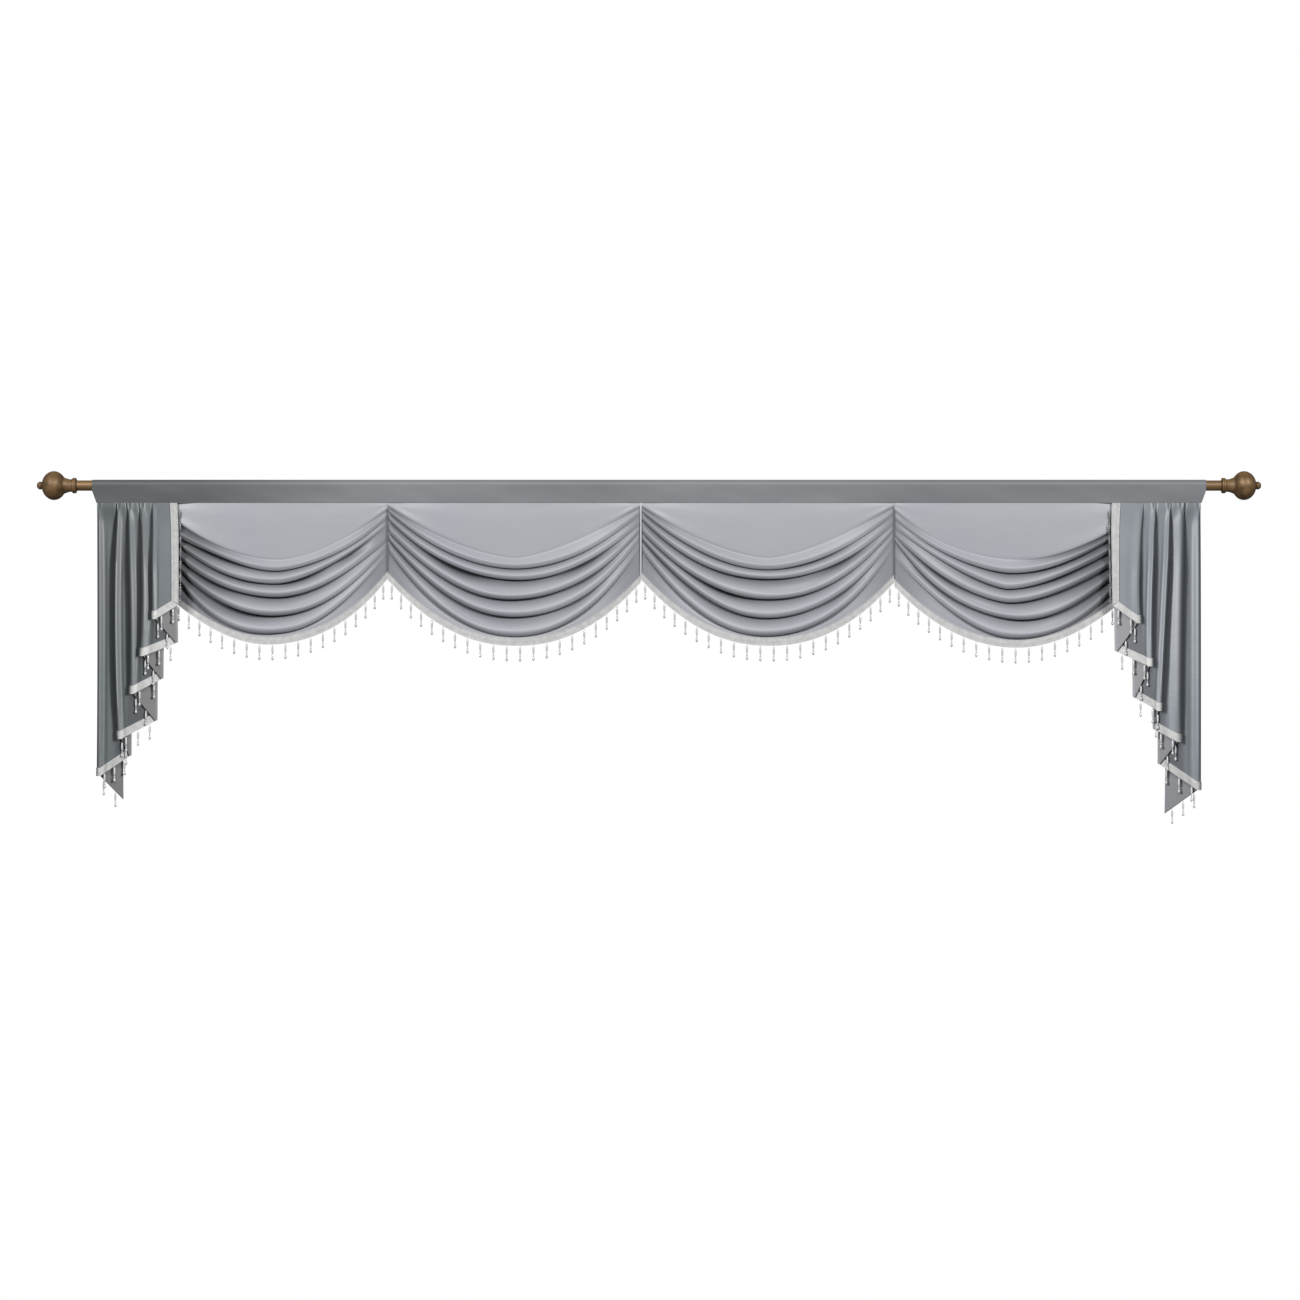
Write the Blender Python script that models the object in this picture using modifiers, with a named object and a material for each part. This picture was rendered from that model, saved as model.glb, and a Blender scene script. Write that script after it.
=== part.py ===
"""A waterfall valance on its rod: a heading pocket, four draped swags, two cascades and beaded braid.

Metres, +Z up, X along the rod and Y towards the wall, so the face of the cloth looks along -Y.
The origin is on the rod's axis, half way along it. A drop is a distance below the rod's axis.
"""

import math

import bmesh
import bpy
from mathutils import Vector

MM = 0.001

# Rod and finials
ROD_RADIUS = 14 * MM
ROD_HALF_LENGTH = 1.566
ROD_SIDES = 20
FINIAL_FACE = 1.546  # where each finial's collar begins, from the middle of the rod
FINIAL_STEPS = 14
SOCKET_RADIUS = 14.6 * MM
RUNNING_GAP = 0.3 * MM

# Cloth and braid
CLOTH = 1.2 * MM
BRAID = 1.2 * MM
BRAID_WIDTH = 20 * MM
BRAID_LIFT = CLOTH / 2 + RUNNING_GAP + BRAID / 2

# Heading pocket
POCKET_RADIUS = 15.2 * MM
POCKET_ARC_STEPS = 10
POCKET_END_ANGLE = math.radians(-32)
HEADING_DROP = 46.4 * MM
HEADING_FOOT = 3.8 * MM  # depth of the pocket's closed foot, front wall to back wall
HEADING_HALF_TOP = 1.502
HEADING_HALF_FOOT = 1.490
HEADING_TAPER_FROM = 13.5 * MM

# Every hung piece starts at this drop, one running gap under the heading's foot
HUNG_TOP = HEADING_DROP + CLOTH / 2 + RUNNING_GAP
SWAG_PLANE = -13.2 * MM

# Seams between the swags, left to right, and the welt that covers each one
SEAMS = (-0.705, -0.022, 0.661)
WELT_DROPS = (0.243, 0.252, 0.252)
WELT_HALF_WIDTH = 1.2 * MM
WELT_DEPTHS = (3 * MM, 6 * MM, 3 * MM)
DRAPE_GAP = 2 * MM
SWAG_INSET = WELT_HALF_WIDTH + DRAPE_GAP

# Swags: outer ends run this far behind the cascades, stepped back to clear them
SWAG_OUTER_LEFT = -1.281
SWAG_OUTER_RIGHT = 1.263
SWAG_COLUMNS = 12
TUCK_BACK = 7 * MM
TUCK_BACK_LENGTH = 70 * MM

# How each roll is formed, as shares of its own depth or of the space to the roll above
HOLLOW_SHARE = 0.22
LIP_SHARE = 0.55
TUCK_SHARE = 0.25
CREST_SHARE = 0.45
OUTWARD_DROP_SHARE = 0.5
OUTWARD_DEPTH_SHARE = 0.6
PANEL_BELLY = 4 * MM

# Millimetres under the heading at the left end, middle and right end, then how far each stands out
FOLD_COLUMNS = ("left", "middle", "right", "out_left", "out_middle", "out_right")
MIDDLE_SWAG = {
    "brow": (2, 146, 5, 2, 6, 2),
    "roll_1": (19, 175, 24, 6, 15, 6),
    "roll_2": (40, 202, 59, 7, 18, 6),
    "roll_3": (73, 259, 81, 8, 25, 7),
    "roll_4": (97, 308, 103, 8, 27, 7),
    "roll_5": (135, 357, 135, 7, 26, 6),
    "hem": (219, 383, 229, 5, 12, 5),
}
LEFT_SWAG = {
    "brow": (46, 154, 5, 3, 6, 2),
    "roll_1": (89, 181, 24, 9, 16, 6),
    "roll_2": (130, 216, 65, 13, 19, 7),
    "roll_3": (167, 254, 100, 15, 24, 7),
    "roll_4": (202, 300, 135, 16, 26, 7),
    "roll_5": (235, 348, 178, 15, 25, 6),
    "hem": (275, 384, 219, 8, 12, 5),
}
RIGHT_SWAG = {
    "brow": (8, 143, 59, 2, 6, 3),
    "roll_1": (30, 186, 92, 6, 16, 9),
    "roll_2": (62, 227, 122, 7, 20, 13),
    "roll_3": (94, 267, 157, 7, 24, 15),
    "roll_4": (127, 308, 192, 7, 26, 16),
    "roll_5": (184, 356, 235, 6, 25, 15),
    "hem": (229, 390, 282, 5, 12, 8),
}
ROLLS = ("roll_1", "roll_2", "roll_3", "roll_4", "roll_5")

# Cascades: fold lines counted from the inner free edge, which is in front, to the outer free edge.
# Millimetres from the middle of the rod at the heading, half way down and at the hem, then the hem's drop.
CASCADE_COLUMNS = ("at_top", "half_way", "at_hem", "hem_drop")
LEFT_CASCADE = (
    (-1272, -1264, -1263, 320),
    (-1340, -1335, -1334, 359),
    (-1274, -1269, -1266, 423),
    (-1375, -1364, -1369, 458),
    (-1312, -1307, -1307, 520),
    (-1408, -1398, -1398, 560),
    (-1329, -1325, -1325, 633),
    (-1435, -1442, -1433, 682),
    (-1397, -1396, -1397, 728),
    (-1490, -1489, -1491, 782),
    (-1428, -1422, -1420, 846),
)
RIGHT_CASCADE = (
    (1248, 1243, 1244, 322),
    (1335, 1319, 1320, 370),
    (1252, 1250, 1252, 446),
    (1368, 1356, 1354, 486),
    (1307, 1302, 1302, 570),
    (1408, 1394, 1380, 606),
    (1359, 1358, 1358, 656),
    (1446, 1438, 1435, 690),
    (1376, 1374, 1373, 750),
    (1489, 1490, 1490, 820),
    (1402, 1398, 1393, 884),
)
LAYER_GAP_TOP = 2.2 * MM
LAYER_GAP_HEM = 7 * MM
LAYER_GAP_OPEN = 0.2  # drop over which the pleats open from one gap to the other
BACK_LAYER_TOP = 4.8 * MM
BACK_LAYER_HEM = 6 * MM
CASCADE_ROWS = 5
LAYER_BULGE = 1.2 * MM
EDGE_BRAID_WIDTH = 21 * MM

# Beaded drops: rings of a three-sided strand, as millimetres below the braid's edge and radius
STRAND_SIDES = 3
STRAND_RINGS = ((-3, 0.7), (4, 0.7), (16, 2.8), (27, 1.2), (35, 2.6))
STRAND_TIP = 43
BEAD_PITCH = 36 * MM
ROOT_FORWARD = 0.2 * MM
EDGE_STRAND_OUT = 5.5 * MM

# Finial outline from the collar's face outwards, in millimetres: distance and radius
COLLAR_OUTLINE = ((0, 18), (1.5, 21), (9, 21), (10.5, 18.5), (13, 17), (18, 17), (22, 20))
BALL_START = 27
BALL_MIDDLE = 59
BALL_HALF_LENGTH = 33
BALL_RADIUS = 39
BALL_END = 88
BUTTON_OUTLINE = ((92, 11.5), (95, 10.6), (101, 10.8), (105, 7.5))
FINIAL_TIP = 106.5
BALL_STEPS = 7
SOCKET_DEPTH = 20 * MM


def clear_scene():
    for old in list(bpy.data.objects):
        bpy.data.objects.remove(old)


def new_collection(name):
    made = bpy.data.collections.new(name)
    bpy.context.scene.collection.children.link(made)
    return made


def new_material(name, colour, roughness, metallic=0.0):
    made = bpy.data.materials.new(name)
    made.use_nodes = True
    shader = made.node_tree.nodes["Principled BSDF"]
    shader.inputs["Base Color"].default_value = (*colour, 1)
    shader.inputs["Roughness"].default_value = roughness
    shader.inputs["Metallic"].default_value = metallic
    return made


def new_object(name, mesh, material, collection):
    made = bpy.data.objects.new(name, mesh)
    collection.objects.link(made)
    made.data.materials.clear()
    made.data.materials.append(material)
    return made


def round_shading(made, sharp_degrees=40):
    made.data.shade_smooth()
    made.data.set_sharp_from_angle(angle=math.radians(sharp_degrees))


def mix(a, b, share):
    return a + (b - a) * share


def ease(share):
    """0 to 1, level at both ends."""
    held = min(1.0, max(0.0, share))
    return held * held * (3 - 2 * held)


def hanging(left, middle, right, u):
    """A value along a line that sags from its two ends to the middle, as a parabola."""
    return mix(left, right, u) + (middle - (left + right) / 2) * 4 * u * (1 - u)


def thicken(made, thickness, sharp_folds):
    """Gives a sheet its thickness, half to each side, and as much at a sharp fold as beside it."""
    solid = made.modifiers.new("Thickness", "SOLIDIFY")
    solid.thickness = thickness
    solid.offset = 0
    solid.use_even_offset = sharp_folds


def sheet_grid(points):
    """A grid with a face between each four neighbouring points. points[row][column]."""
    rows, columns = len(points) - 1, len(points[0]) - 1
    made = bmesh.new()
    bmesh.ops.create_grid(made, x_segments=columns, y_segments=rows, size=0.5)
    for vert in made.verts:
        column = round((vert.co.x + 0.5) * columns)
        row = round((0.5 - vert.co.y) * rows)
        vert.co = points[row][column]
    made.normal_update()
    return made


def sheet_object(name, points, thickness, material, collection, sharp_folds=False):
    grid = sheet_grid(points)
    mesh = bpy.data.meshes.new(name)
    grid.to_mesh(mesh)
    grid.free()
    made = new_object(name, mesh, material, collection)
    thicken(made, thickness, sharp_folds)
    round_shading(made, 80)
    return made


def lifted_points(points, lift):
    """The same grid, moved off the face of the cloth along the cloth's own normals."""
    rows, columns = len(points) - 1, len(points[0]) - 1
    grid = sheet_grid(points)
    moved = [[None] * (columns + 1) for _ in range(rows + 1)]
    lookup = {tuple(round(c, 7) for c in vert.co): vert for vert in grid.verts}
    for row in range(rows + 1):
        for column in range(columns + 1):
            vert = lookup[tuple(round(c, 7) for c in Vector(points[row][column]))]
            moved[row][column] = vert.co + vert.normal * lift * vert.calc_shell_factor()
    grid.free()
    return moved


def swag_fold(table, name, u):
    """(drop, how far out) of one fold at u, in metres, the drop from the heading."""
    row = dict(zip(FOLD_COLUMNS, table[name]))
    drop = hanging(row["left"], row["middle"], row["right"], u)
    out = hanging(row["out_left"], row["out_middle"], row["out_right"], u)
    return drop * MM, out * MM


def swag_section(table, u):
    """The cloth's path from the heading down to the hem at u, as (drop, how far out) pairs."""
    brow_drop, brow_out = swag_fold(table, "brow", u)
    belly = brow_out + PANEL_BELLY * 4 * u * (1 - u)
    path = [(0.0, 0.0), (brow_drop * 0.55, belly), (brow_drop, brow_out)]
    lip_above, last = brow_drop, (brow_drop, brow_out)
    for name in ROLLS:
        lip_drop, out = swag_fold(table, name, u)
        crest_drop = mix(lip_drop, lip_above, CREST_SHARE)
        hollow = out * HOLLOW_SHARE
        path.append(
            (
                mix(last[0], crest_drop, OUTWARD_DROP_SHARE),
                mix(last[1], out, OUTWARD_DEPTH_SHARE),
            )
        )
        path.append((crest_drop, out))
        path.append((lip_drop, mix(hollow, out, LIP_SHARE)))
        last = (lip_drop - out * TUCK_SHARE, hollow)
        path.append(last)
        lip_above = lip_drop
    hem_drop, hem_out = swag_fold(table, "hem", u)
    path.append((hem_drop - BRAID_WIDTH, hem_out - 1.5 * MM))
    path.append((hem_drop, hem_out))
    return path


def swag_points(table, x_left, x_right, tucked_left, tucked_right):
    """points[row][column] of one swag's middle surface."""
    columns = []
    for step in range(SWAG_COLUMNS + 1):
        u = step / SWAG_COLUMNS
        x = mix(x_left, x_right, u)
        back = 0.0
        if tucked_left:
            back = TUCK_BACK * (1 - ease((x - x_left) / TUCK_BACK_LENGTH))
        if tucked_right:
            back = TUCK_BACK * (1 - ease((x_right - x) / TUCK_BACK_LENGTH))
        columns.append(
            [
                Vector((x, SWAG_PLANE + back - out, -HUNG_TOP - drop))
                for drop, out in swag_section(table, u)
            ]
        )
    return [list(row) for row in zip(*columns)]


def layer_gap(drop):
    return mix(LAYER_GAP_TOP, LAYER_GAP_HEM, ease((drop - HUNG_TOP) / LAYER_GAP_OPEN))


def layer_y(layer, layers, drop, longest):
    """Where a cascade's layer hangs, counted from the front one at 0."""
    share = (drop - HUNG_TOP) / (longest - HUNG_TOP)
    back = mix(BACK_LAYER_TOP, BACK_LAYER_HEM, share)
    return back - (layers - 1 - layer) * layer_gap(drop)


def fold_x(fold, drop):
    """Where a fold line runs at a drop, a smooth curve through its three stated places."""
    row = dict(zip(CASCADE_COLUMNS, fold))
    share = (drop - HUNG_TOP) / (row["hem_drop"] * MM - HUNG_TOP)
    bow = row["half_way"] - (row["at_top"] + row["at_hem"]) / 2
    return (mix(row["at_top"], row["at_hem"], share) + bow * 4 * share * (1 - share)) * MM


def cascade_columns(folds):
    """The columns of a cascade: (layer, share of the way to its next fold line, part of the turn)."""
    columns = [(0, 0.0, None), (0, "braid", None), (0, 0.6, None)]
    for fold in range(1, len(folds) - 1):
        columns += [(fold, 0.0, "start"), (fold, 0.0, "turn"), (fold, 0.0, "end")]
        columns.append((fold, 0.5, None))
    columns.append((len(folds) - 2, 1.0, None))
    return columns


def cascade_place(folds, column, drop):
    """The point of a cascade's middle surface at a column and a drop."""
    layer, share, turn = column
    layers = len(folds) - 1
    longest = folds[-1][-1] * MM
    y = layer_y(layer, layers, drop, longest)
    half_gap = layer_gap(drop) / 2
    here, beyond = fold_x(folds[layer], drop), fold_x(folds[layer + 1], drop)
    away = math.copysign(1, beyond - here)
    if turn == "turn":
        return Vector((here, y - half_gap, -drop))
    if turn == "start":
        return Vector((here + away * half_gap, y - 2 * half_gap, -drop))
    if turn == "end":
        return Vector((here + away * half_gap, y, -drop))
    if share == "braid":
        return Vector((here + away * EDGE_BRAID_WIDTH, y, -drop))
    bulge = LAYER_BULGE * math.sin(math.pi * share) * ease((drop - HUNG_TOP) / LAYER_GAP_OPEN)
    return Vector((mix(here, beyond, share), y - bulge, -drop))


def hem_drop_at(folds, column):
    """The drop of the slanting hem at a column."""
    layer, share, _ = column
    here, beyond = folds[layer], folds[layer + 1]
    if share == "braid":
        share = EDGE_BRAID_WIDTH / abs(beyond[2] - here[2]) / MM
    return mix(here[3], beyond[3], share) * MM


def cascade_points(folds):
    """points[row][column] of a cascade, the last row as tall as the braid on its hem."""
    columns = cascade_columns(folds)
    rows = []
    for row in range(CASCADE_ROWS + 2):
        points = []
        for column in columns:
            hem = hem_drop_at(folds, column)
            drop = hem
            if row <= CASCADE_ROWS:
                drop = mix(HUNG_TOP, hem - BRAID_WIDTH, row / CASCADE_ROWS)
            points.append(cascade_place(folds, column, drop))
        rows.append(points)
    return rows


def strand(grid, root, aside=0.0):
    """One beaded drop under root, a lofted three-sided strand. aside steps it clear of an upright braid."""
    rings = []
    for drop, half_width in STRAND_RINGS:
        shift = aside if drop > 0 else 0.0
        middle = root + Vector((shift, 0, -drop * MM))
        ring = []
        for side in range(STRAND_SIDES):
            angle = 2 * math.pi * side / STRAND_SIDES
            reach = half_width * MM
            ring.append(middle + Vector((math.cos(angle) * reach, math.sin(angle) * reach, 0)))
        rings.append([grid.verts.new(point) for point in ring])
    grid.faces.new(rings[0])
    for upper, lower in zip(rings, rings[1:]):
        for side in range(STRAND_SIDES):
            after = (side + 1) % STRAND_SIDES
            grid.faces.new((upper[after], upper[side], lower[side], lower[after]))
    tip = grid.verts.new(root + Vector((aside, 0, -STRAND_TIP * MM)))
    for side in range(STRAND_SIDES):
        after = (side + 1) % STRAND_SIDES
        grid.faces.new((rings[-1][after], rings[-1][side], tip))


def along_line(line, pitch, start_share=0.5):
    """Points at an even pitch along a line of points, the first one a part of a pitch in."""
    found, waiting = [], pitch * start_share
    for a, b in zip(line, line[1:]):
        length = (b - a).length
        while waiting <= length:
            found.append(a.lerp(b, waiting / length))
            waiting += pitch
        waiting -= length
    return found


def strands_object(name, hem_roots, edge_roots, aside, cutters):
    """All the drops of one braid as one helper mesh, to be joined to it."""
    grid = bmesh.new()
    for root in hem_roots:
        strand(grid, root)
    for root in edge_roots:
        strand(grid, root, aside)
    bmesh.ops.recalc_face_normals(grid, faces=grid.faces)
    mesh = bpy.data.meshes.new(name)
    grid.to_mesh(mesh)
    grid.free()
    made = bpy.data.objects.new(name, mesh)
    cutters.objects.link(made)
    made.hide_render = True
    made.display_type = "WIRE"
    return made


def join_strands(braid, strands):
    joined = braid.modifiers.new("Beaded drops", "BOOLEAN")
    joined.operation = "UNION"
    joined.solver = "EXACT"
    joined.object = strands


def make_swag_trim(name, swag, material, collection, cutters):
    """The braid along a swag's hem with its beaded drops."""
    hem = [row[:] for row in lifted_points(swag, BRAID_LIFT)[-2:]]
    braid = sheet_object(name, hem, BRAID, material, collection)
    length = sum((b - a).length for a, b in zip(hem[-1], hem[-1][1:]))
    pitch = length / round(length / BEAD_PITCH)
    roots = [point + Vector((0, -ROOT_FORWARD, 0)) for point in along_line(hem[-1], pitch)]
    join_strands(braid, strands_object(name + "_drops", roots, [], 0, cutters))


def make_cascade_trim(name, cascade, front, material, collection, cutters):
    """The braid down a cascade's inner edge and along its slanting hem, with its beaded drops."""
    lifted = lifted_points(cascade, front * BRAID_LIFT)
    grid = sheet_grid(lifted)
    rows, columns = len(lifted) - 1, len(lifted[0]) - 1
    grid.faces.ensure_lookup_table()
    kept = {frozenset(tuple(round(c, 7) for c in p) for p in corners)
            for corners in braid_corners(lifted, rows, columns)}
    spare = [
        face for face in grid.faces
        if frozenset(tuple(round(c, 7) for c in vert.co) for vert in face.verts) not in kept
    ]
    bmesh.ops.delete(grid, geom=spare, context="FACES")
    mesh = bpy.data.meshes.new(name)
    grid.to_mesh(mesh)
    grid.free()
    braid = new_object(name, mesh, material, collection)
    thicken(braid, BRAID, True)
    hem, edge = lifted[-1], [row[0] for row in lifted]
    hem_roots = cascade_roots(hem)
    away = math.copysign(1, hem[0].x - hem[1].x)
    edge_roots = [point - Vector((away * 0.4 * MM, ROOT_FORWARD, 0)) for point in along_line(edge, BEAD_PITCH)][:-1]
    strands = strands_object(name + "_drops", hem_roots, edge_roots, away * EDGE_STRAND_OUT, cutters)
    join_strands(braid, strands)


def braid_corners(lifted, rows, columns):
    """The corners of each face of the cloth that the braid covers: first column and last row."""
    for row in range(rows):
        for column in range(columns):
            if column == 0 or row == rows - 1:
                yield (
                    lifted[row][column], lifted[row][column + 1],
                    lifted[row + 1][column + 1], lifted[row + 1][column],
                )


def cascade_roots(hem):
    """Where the drops hang from a cascade's hem: evenly spaced on each layer, clear of the turns."""
    roots = []
    turns = [i for i in range(1, len(hem) - 1) if is_turn(hem, i)]
    ends = [0, *turns, len(hem) - 1]
    for layer, (a, b) in enumerate(zip(ends, ends[1:])):
        line = hem[a + (a > 0): b + (b == len(hem) - 1)]
        width = abs(line[-1].x - line[0].x)
        count = max(2, round(width / BEAD_PITCH))
        shift = 0.3 if layer % 2 else 0.5
        length = sum((q - p).length for p, q in zip(line, line[1:]))
        facing = -1 if layer % 2 == 0 else 1
        for point in along_line(line, length / count, shift):
            roots.append(point + Vector((0, facing * ROOT_FORWARD, 0)))
    return roots


def is_turn(hem, i):
    return (hem[i].x - hem[i - 1].x) * (hem[i + 1].x - hem[i].x) < 0


def make_heading(material, collection):
    """The sleeve that the rod runs through: round over the rod, drawn together at its foot."""
    section = [(-POCKET_RADIUS, -HEADING_DROP), (-POCKET_RADIUS, -HEADING_DROP / 2)]
    for step in range(POCKET_ARC_STEPS + 1):
        angle = mix(math.pi, POCKET_END_ANGLE, step / POCKET_ARC_STEPS)
        section.append((POCKET_RADIUS * math.cos(angle), POCKET_RADIUS * math.sin(angle)))
    section.append((-POCKET_RADIUS + HEADING_FOOT, -HEADING_DROP))
    grid = bmesh.new()
    ends = []
    for side in (-1, 1):
        ring = []
        for y, z in section:
            taper = max(0.0, -z - HEADING_TAPER_FROM) / (HEADING_DROP - HEADING_TAPER_FROM)
            half = mix(HEADING_HALF_TOP, HEADING_HALF_FOOT, taper)
            ring.append(grid.verts.new((side * half, y, z)))
        ends.append(ring)
        for a, b in zip(ring, ring[1:] + ring[:1]):
            grid.edges.new((a, b))
    bmesh.ops.bridge_loops(grid, edges=grid.edges)
    bmesh.ops.recalc_face_normals(grid, faces=grid.faces)
    mesh = bpy.data.meshes.new("heading")
    grid.to_mesh(mesh)
    grid.free()
    made = new_object("heading", mesh, material, collection)
    thicken(made, CLOTH, True)
    round_shading(made)


def make_rod(material, collection):
    bpy.ops.mesh.primitive_cylinder_add(
        vertices=ROD_SIDES, radius=ROD_RADIUS, depth=2 * ROD_HALF_LENGTH, rotation=(0, math.pi / 2, 0)
    )
    made = bpy.context.object
    made.name = "rod"
    bpy.context.collection.objects.unlink(made)
    collection.objects.link(made)
    made.data.materials.append(material)
    round_shading(made)


def finial_outline():
    """(distance, radius) from the socket's blind end, out over the collar and ball, to the tip."""
    ball = []
    for step in range(BALL_STEPS + 1):
        along = mix(BALL_START, BALL_END, step / BALL_STEPS)
        off = (along - BALL_MIDDLE) / BALL_HALF_LENGTH
        ball.append((along, BALL_RADIUS * math.sqrt(max(0.0, 1 - off * off))))
    outline = [*COLLAR_OUTLINE, *ball, *BUTTON_OUTLINE, (FINIAL_TIP, 0)]
    socket = [(SOCKET_DEPTH / MM + 0.3, 0), (SOCKET_DEPTH / MM + 0.3, SOCKET_RADIUS / MM), (0, SOCKET_RADIUS / MM)]
    return [(along * MM, radius * MM) for along, radius in socket + outline]


def make_finial(name, side, material, collection):
    """A turned finial with a blind socket for the rod's end. Its outline is spun about its length."""
    outline = finial_outline()
    mesh = bpy.data.meshes.new(name)
    points = [(radius, 0, along) for along, radius in reversed(outline)]
    mesh.from_pydata(points, [(i, i + 1) for i in range(len(points) - 1)], [])
    made = new_object(name, mesh, material, collection)
    made.location = (side * FINIAL_FACE, 0, 0)
    made.rotation_euler = (0, side * math.pi / 2, 0)
    spin = made.modifiers.new("Turning", "SCREW")
    spin.axis = "Z"
    spin.steps = FINIAL_STEPS
    spin.render_steps = FINIAL_STEPS
    spin.use_merge_vertices = True
    spin.merge_threshold = 0.00001
    spin.use_smooth_shade = True


def make_welt(number, x, drop, depth, material, collection):
    """The narrow welt over the seam between two swags."""
    bpy.ops.mesh.primitive_cube_add(
        size=1, location=(x, SWAG_PLANE + CLOTH / 2 - depth / 2, -(HUNG_TOP + drop) / 2),
        scale=(2 * WELT_HALF_WIDTH, depth, drop - HUNG_TOP),
    )
    made = bpy.context.object
    bpy.ops.object.transform_apply(location=False, rotation=False, scale=True)
    made.name = f"seam_welt_{number}"
    bpy.context.collection.objects.unlink(made)
    collection.objects.link(made)
    made.data.materials.append(material)


def main():
    clear_scene()
    valance = new_collection("waterfall valance")
    cutters = new_collection("helpers")
    satin = new_material("satin", (0.42, 0.43, 0.47), 0.38)
    braid = new_material("beaded braid", (0.72, 0.72, 0.70), 0.6)
    bronze = new_material("bronzed wood", (0.23, 0.15, 0.09), 0.4)
    make_rod(bronze, valance)
    make_finial("finial_left", -1, bronze, valance)
    make_finial("finial_right", 1, bronze, valance)
    make_heading(satin, valance)
    ends = [SWAG_OUTER_LEFT - SWAG_INSET, *SEAMS, SWAG_OUTER_RIGHT + SWAG_INSET]
    tables = (LEFT_SWAG, MIDDLE_SWAG, MIDDLE_SWAG, RIGHT_SWAG)
    for number, table in enumerate(tables, 1):
        x_left, x_right = ends[number - 1] + SWAG_INSET, ends[number] - SWAG_INSET
        points = swag_points(table, x_left, x_right, number == 1, number == len(tables))
        sheet_object(f"swag_{number}", points, CLOTH, satin, valance)
        make_swag_trim(f"swag_trim_{number}", points, braid, valance, cutters)
    for number, (x, drop, depth) in enumerate(zip(SEAMS, WELT_DROPS, WELT_DEPTHS), 1):
        make_welt(number, x, drop, depth, satin, valance)
    for side, folds, front in (("left", LEFT_CASCADE, -1), ("right", RIGHT_CASCADE, 1)):
        points = cascade_points(folds)
        sheet_object(f"cascade_{side}", points, CLOTH, satin, valance, True)
        make_cascade_trim(f"cascade_trim_{side}", points, front, braid, valance, cutters)


main()
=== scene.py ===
# %% [markdown]
# # A waterfall valance on its rod
#
# The real piece is sewn from a grey satin with a soft shine. A flat strip is folded over a pole and
# stitched to make a pocket, four swags hang from it in draped rolls, and a pleated cascade falls at
# each end like water over steps. A pale woven braid with beaded drops edges everything that hangs.
#
# This lesson dresses the part piece by piece. The solids of the part are loaded first, because every
# piece has to lie where its solid lies.

# %% The part and the box that it fills
import math

import bpy
import numpy as np
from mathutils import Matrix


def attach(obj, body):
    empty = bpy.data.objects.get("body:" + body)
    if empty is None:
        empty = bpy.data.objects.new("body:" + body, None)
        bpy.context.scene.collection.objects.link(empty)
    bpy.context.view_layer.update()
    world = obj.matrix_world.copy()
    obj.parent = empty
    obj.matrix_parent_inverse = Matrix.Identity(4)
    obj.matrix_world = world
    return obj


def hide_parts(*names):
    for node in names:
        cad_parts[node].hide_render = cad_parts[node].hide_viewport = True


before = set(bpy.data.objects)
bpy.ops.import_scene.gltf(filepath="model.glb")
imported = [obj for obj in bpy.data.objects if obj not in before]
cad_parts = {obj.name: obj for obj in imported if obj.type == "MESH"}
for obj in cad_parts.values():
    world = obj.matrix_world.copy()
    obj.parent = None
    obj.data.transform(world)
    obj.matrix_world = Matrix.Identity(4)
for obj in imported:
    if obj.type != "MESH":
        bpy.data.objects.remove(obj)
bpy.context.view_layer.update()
MM = 0.001
print("nodes:", sorted(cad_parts))

# %% [markdown]
# ## The camera
#
# The photograph looks straight at the valance from far away, so the rod is level and hardly any
# perspective shows. One pixel of the photograph is 2.7 mm at the rod. A long lens at nearly ten metres
# gives the same view, and the camera stands opposite the middle of the frame, which is below the rod.

# %% A long lens, straight on
PIXEL = 2.7 * MM
FRAME_PIXELS = 1300
ROD_MIDDLE_PIXEL = (649, 485.6)
LENS = 100.0
SENSOR = 36.0


def add_object(name, data):
    made = bpy.data.objects.new(name, data)
    bpy.context.scene.collection.objects.link(made)
    return made


def aim_camera():
    """A camera whose frame is 1300 pixels of 2.7 mm wide at the rod."""
    distance = FRAME_PIXELS * PIXEL * LENS / SENSOR
    offset = FRAME_PIXELS / 2 - ROD_MIDDLE_PIXEL[0]
    below = FRAME_PIXELS / 2 - ROD_MIDDLE_PIXEL[1]
    data = bpy.data.cameras.new("straight_on")
    data.lens = LENS
    data.sensor_width = SENSOR
    data.clip_end = 60
    camera = add_object("straight_on", data)
    camera.location = (offset * PIXEL, -distance, -below * PIXEL)
    camera.rotation_euler = (math.pi / 2, 0, 0)
    bpy.context.scene.camera = camera
    return distance


print("camera distance:", round(aim_camera(), 2), "m")

# %% [markdown]
# ## Working with sheets
#
# Cloth is a thin sheet, so each cloth piece starts as a flat grid. Its points are then put where the
# folds want them, and Solidify gives it its thickness. The grid's UV map is set in metres of cloth,
# counted along the threads, so a weave keeps its size on every fold.

# %% Selecting, placing and thickening


def nothing_selected():
    """Every operator below acts on the selection, so it starts empty."""
    if bpy.context.mode != "OBJECT":
        bpy.ops.object.mode_set(mode="OBJECT")
    bpy.ops.object.select_all(action="DESELECT")


def only(piece):
    nothing_selected()
    piece.select_set(True)
    bpy.context.view_layer.objects.active = piece


def mark(piece, kind, test):
    """Selects the faces or edges of a piece that pass a test, and leaves it in edit mode."""
    only(piece)
    bpy.ops.object.mode_set(mode="EDIT")
    bpy.ops.mesh.select_mode(type=kind)
    bpy.ops.mesh.select_all(action="DESELECT")
    bpy.ops.object.mode_set(mode="OBJECT")
    for part in piece.data.polygons if kind == "FACE" else piece.data.edges:
        part.select = test(part)
    bpy.ops.object.mode_set(mode="EDIT")


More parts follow.
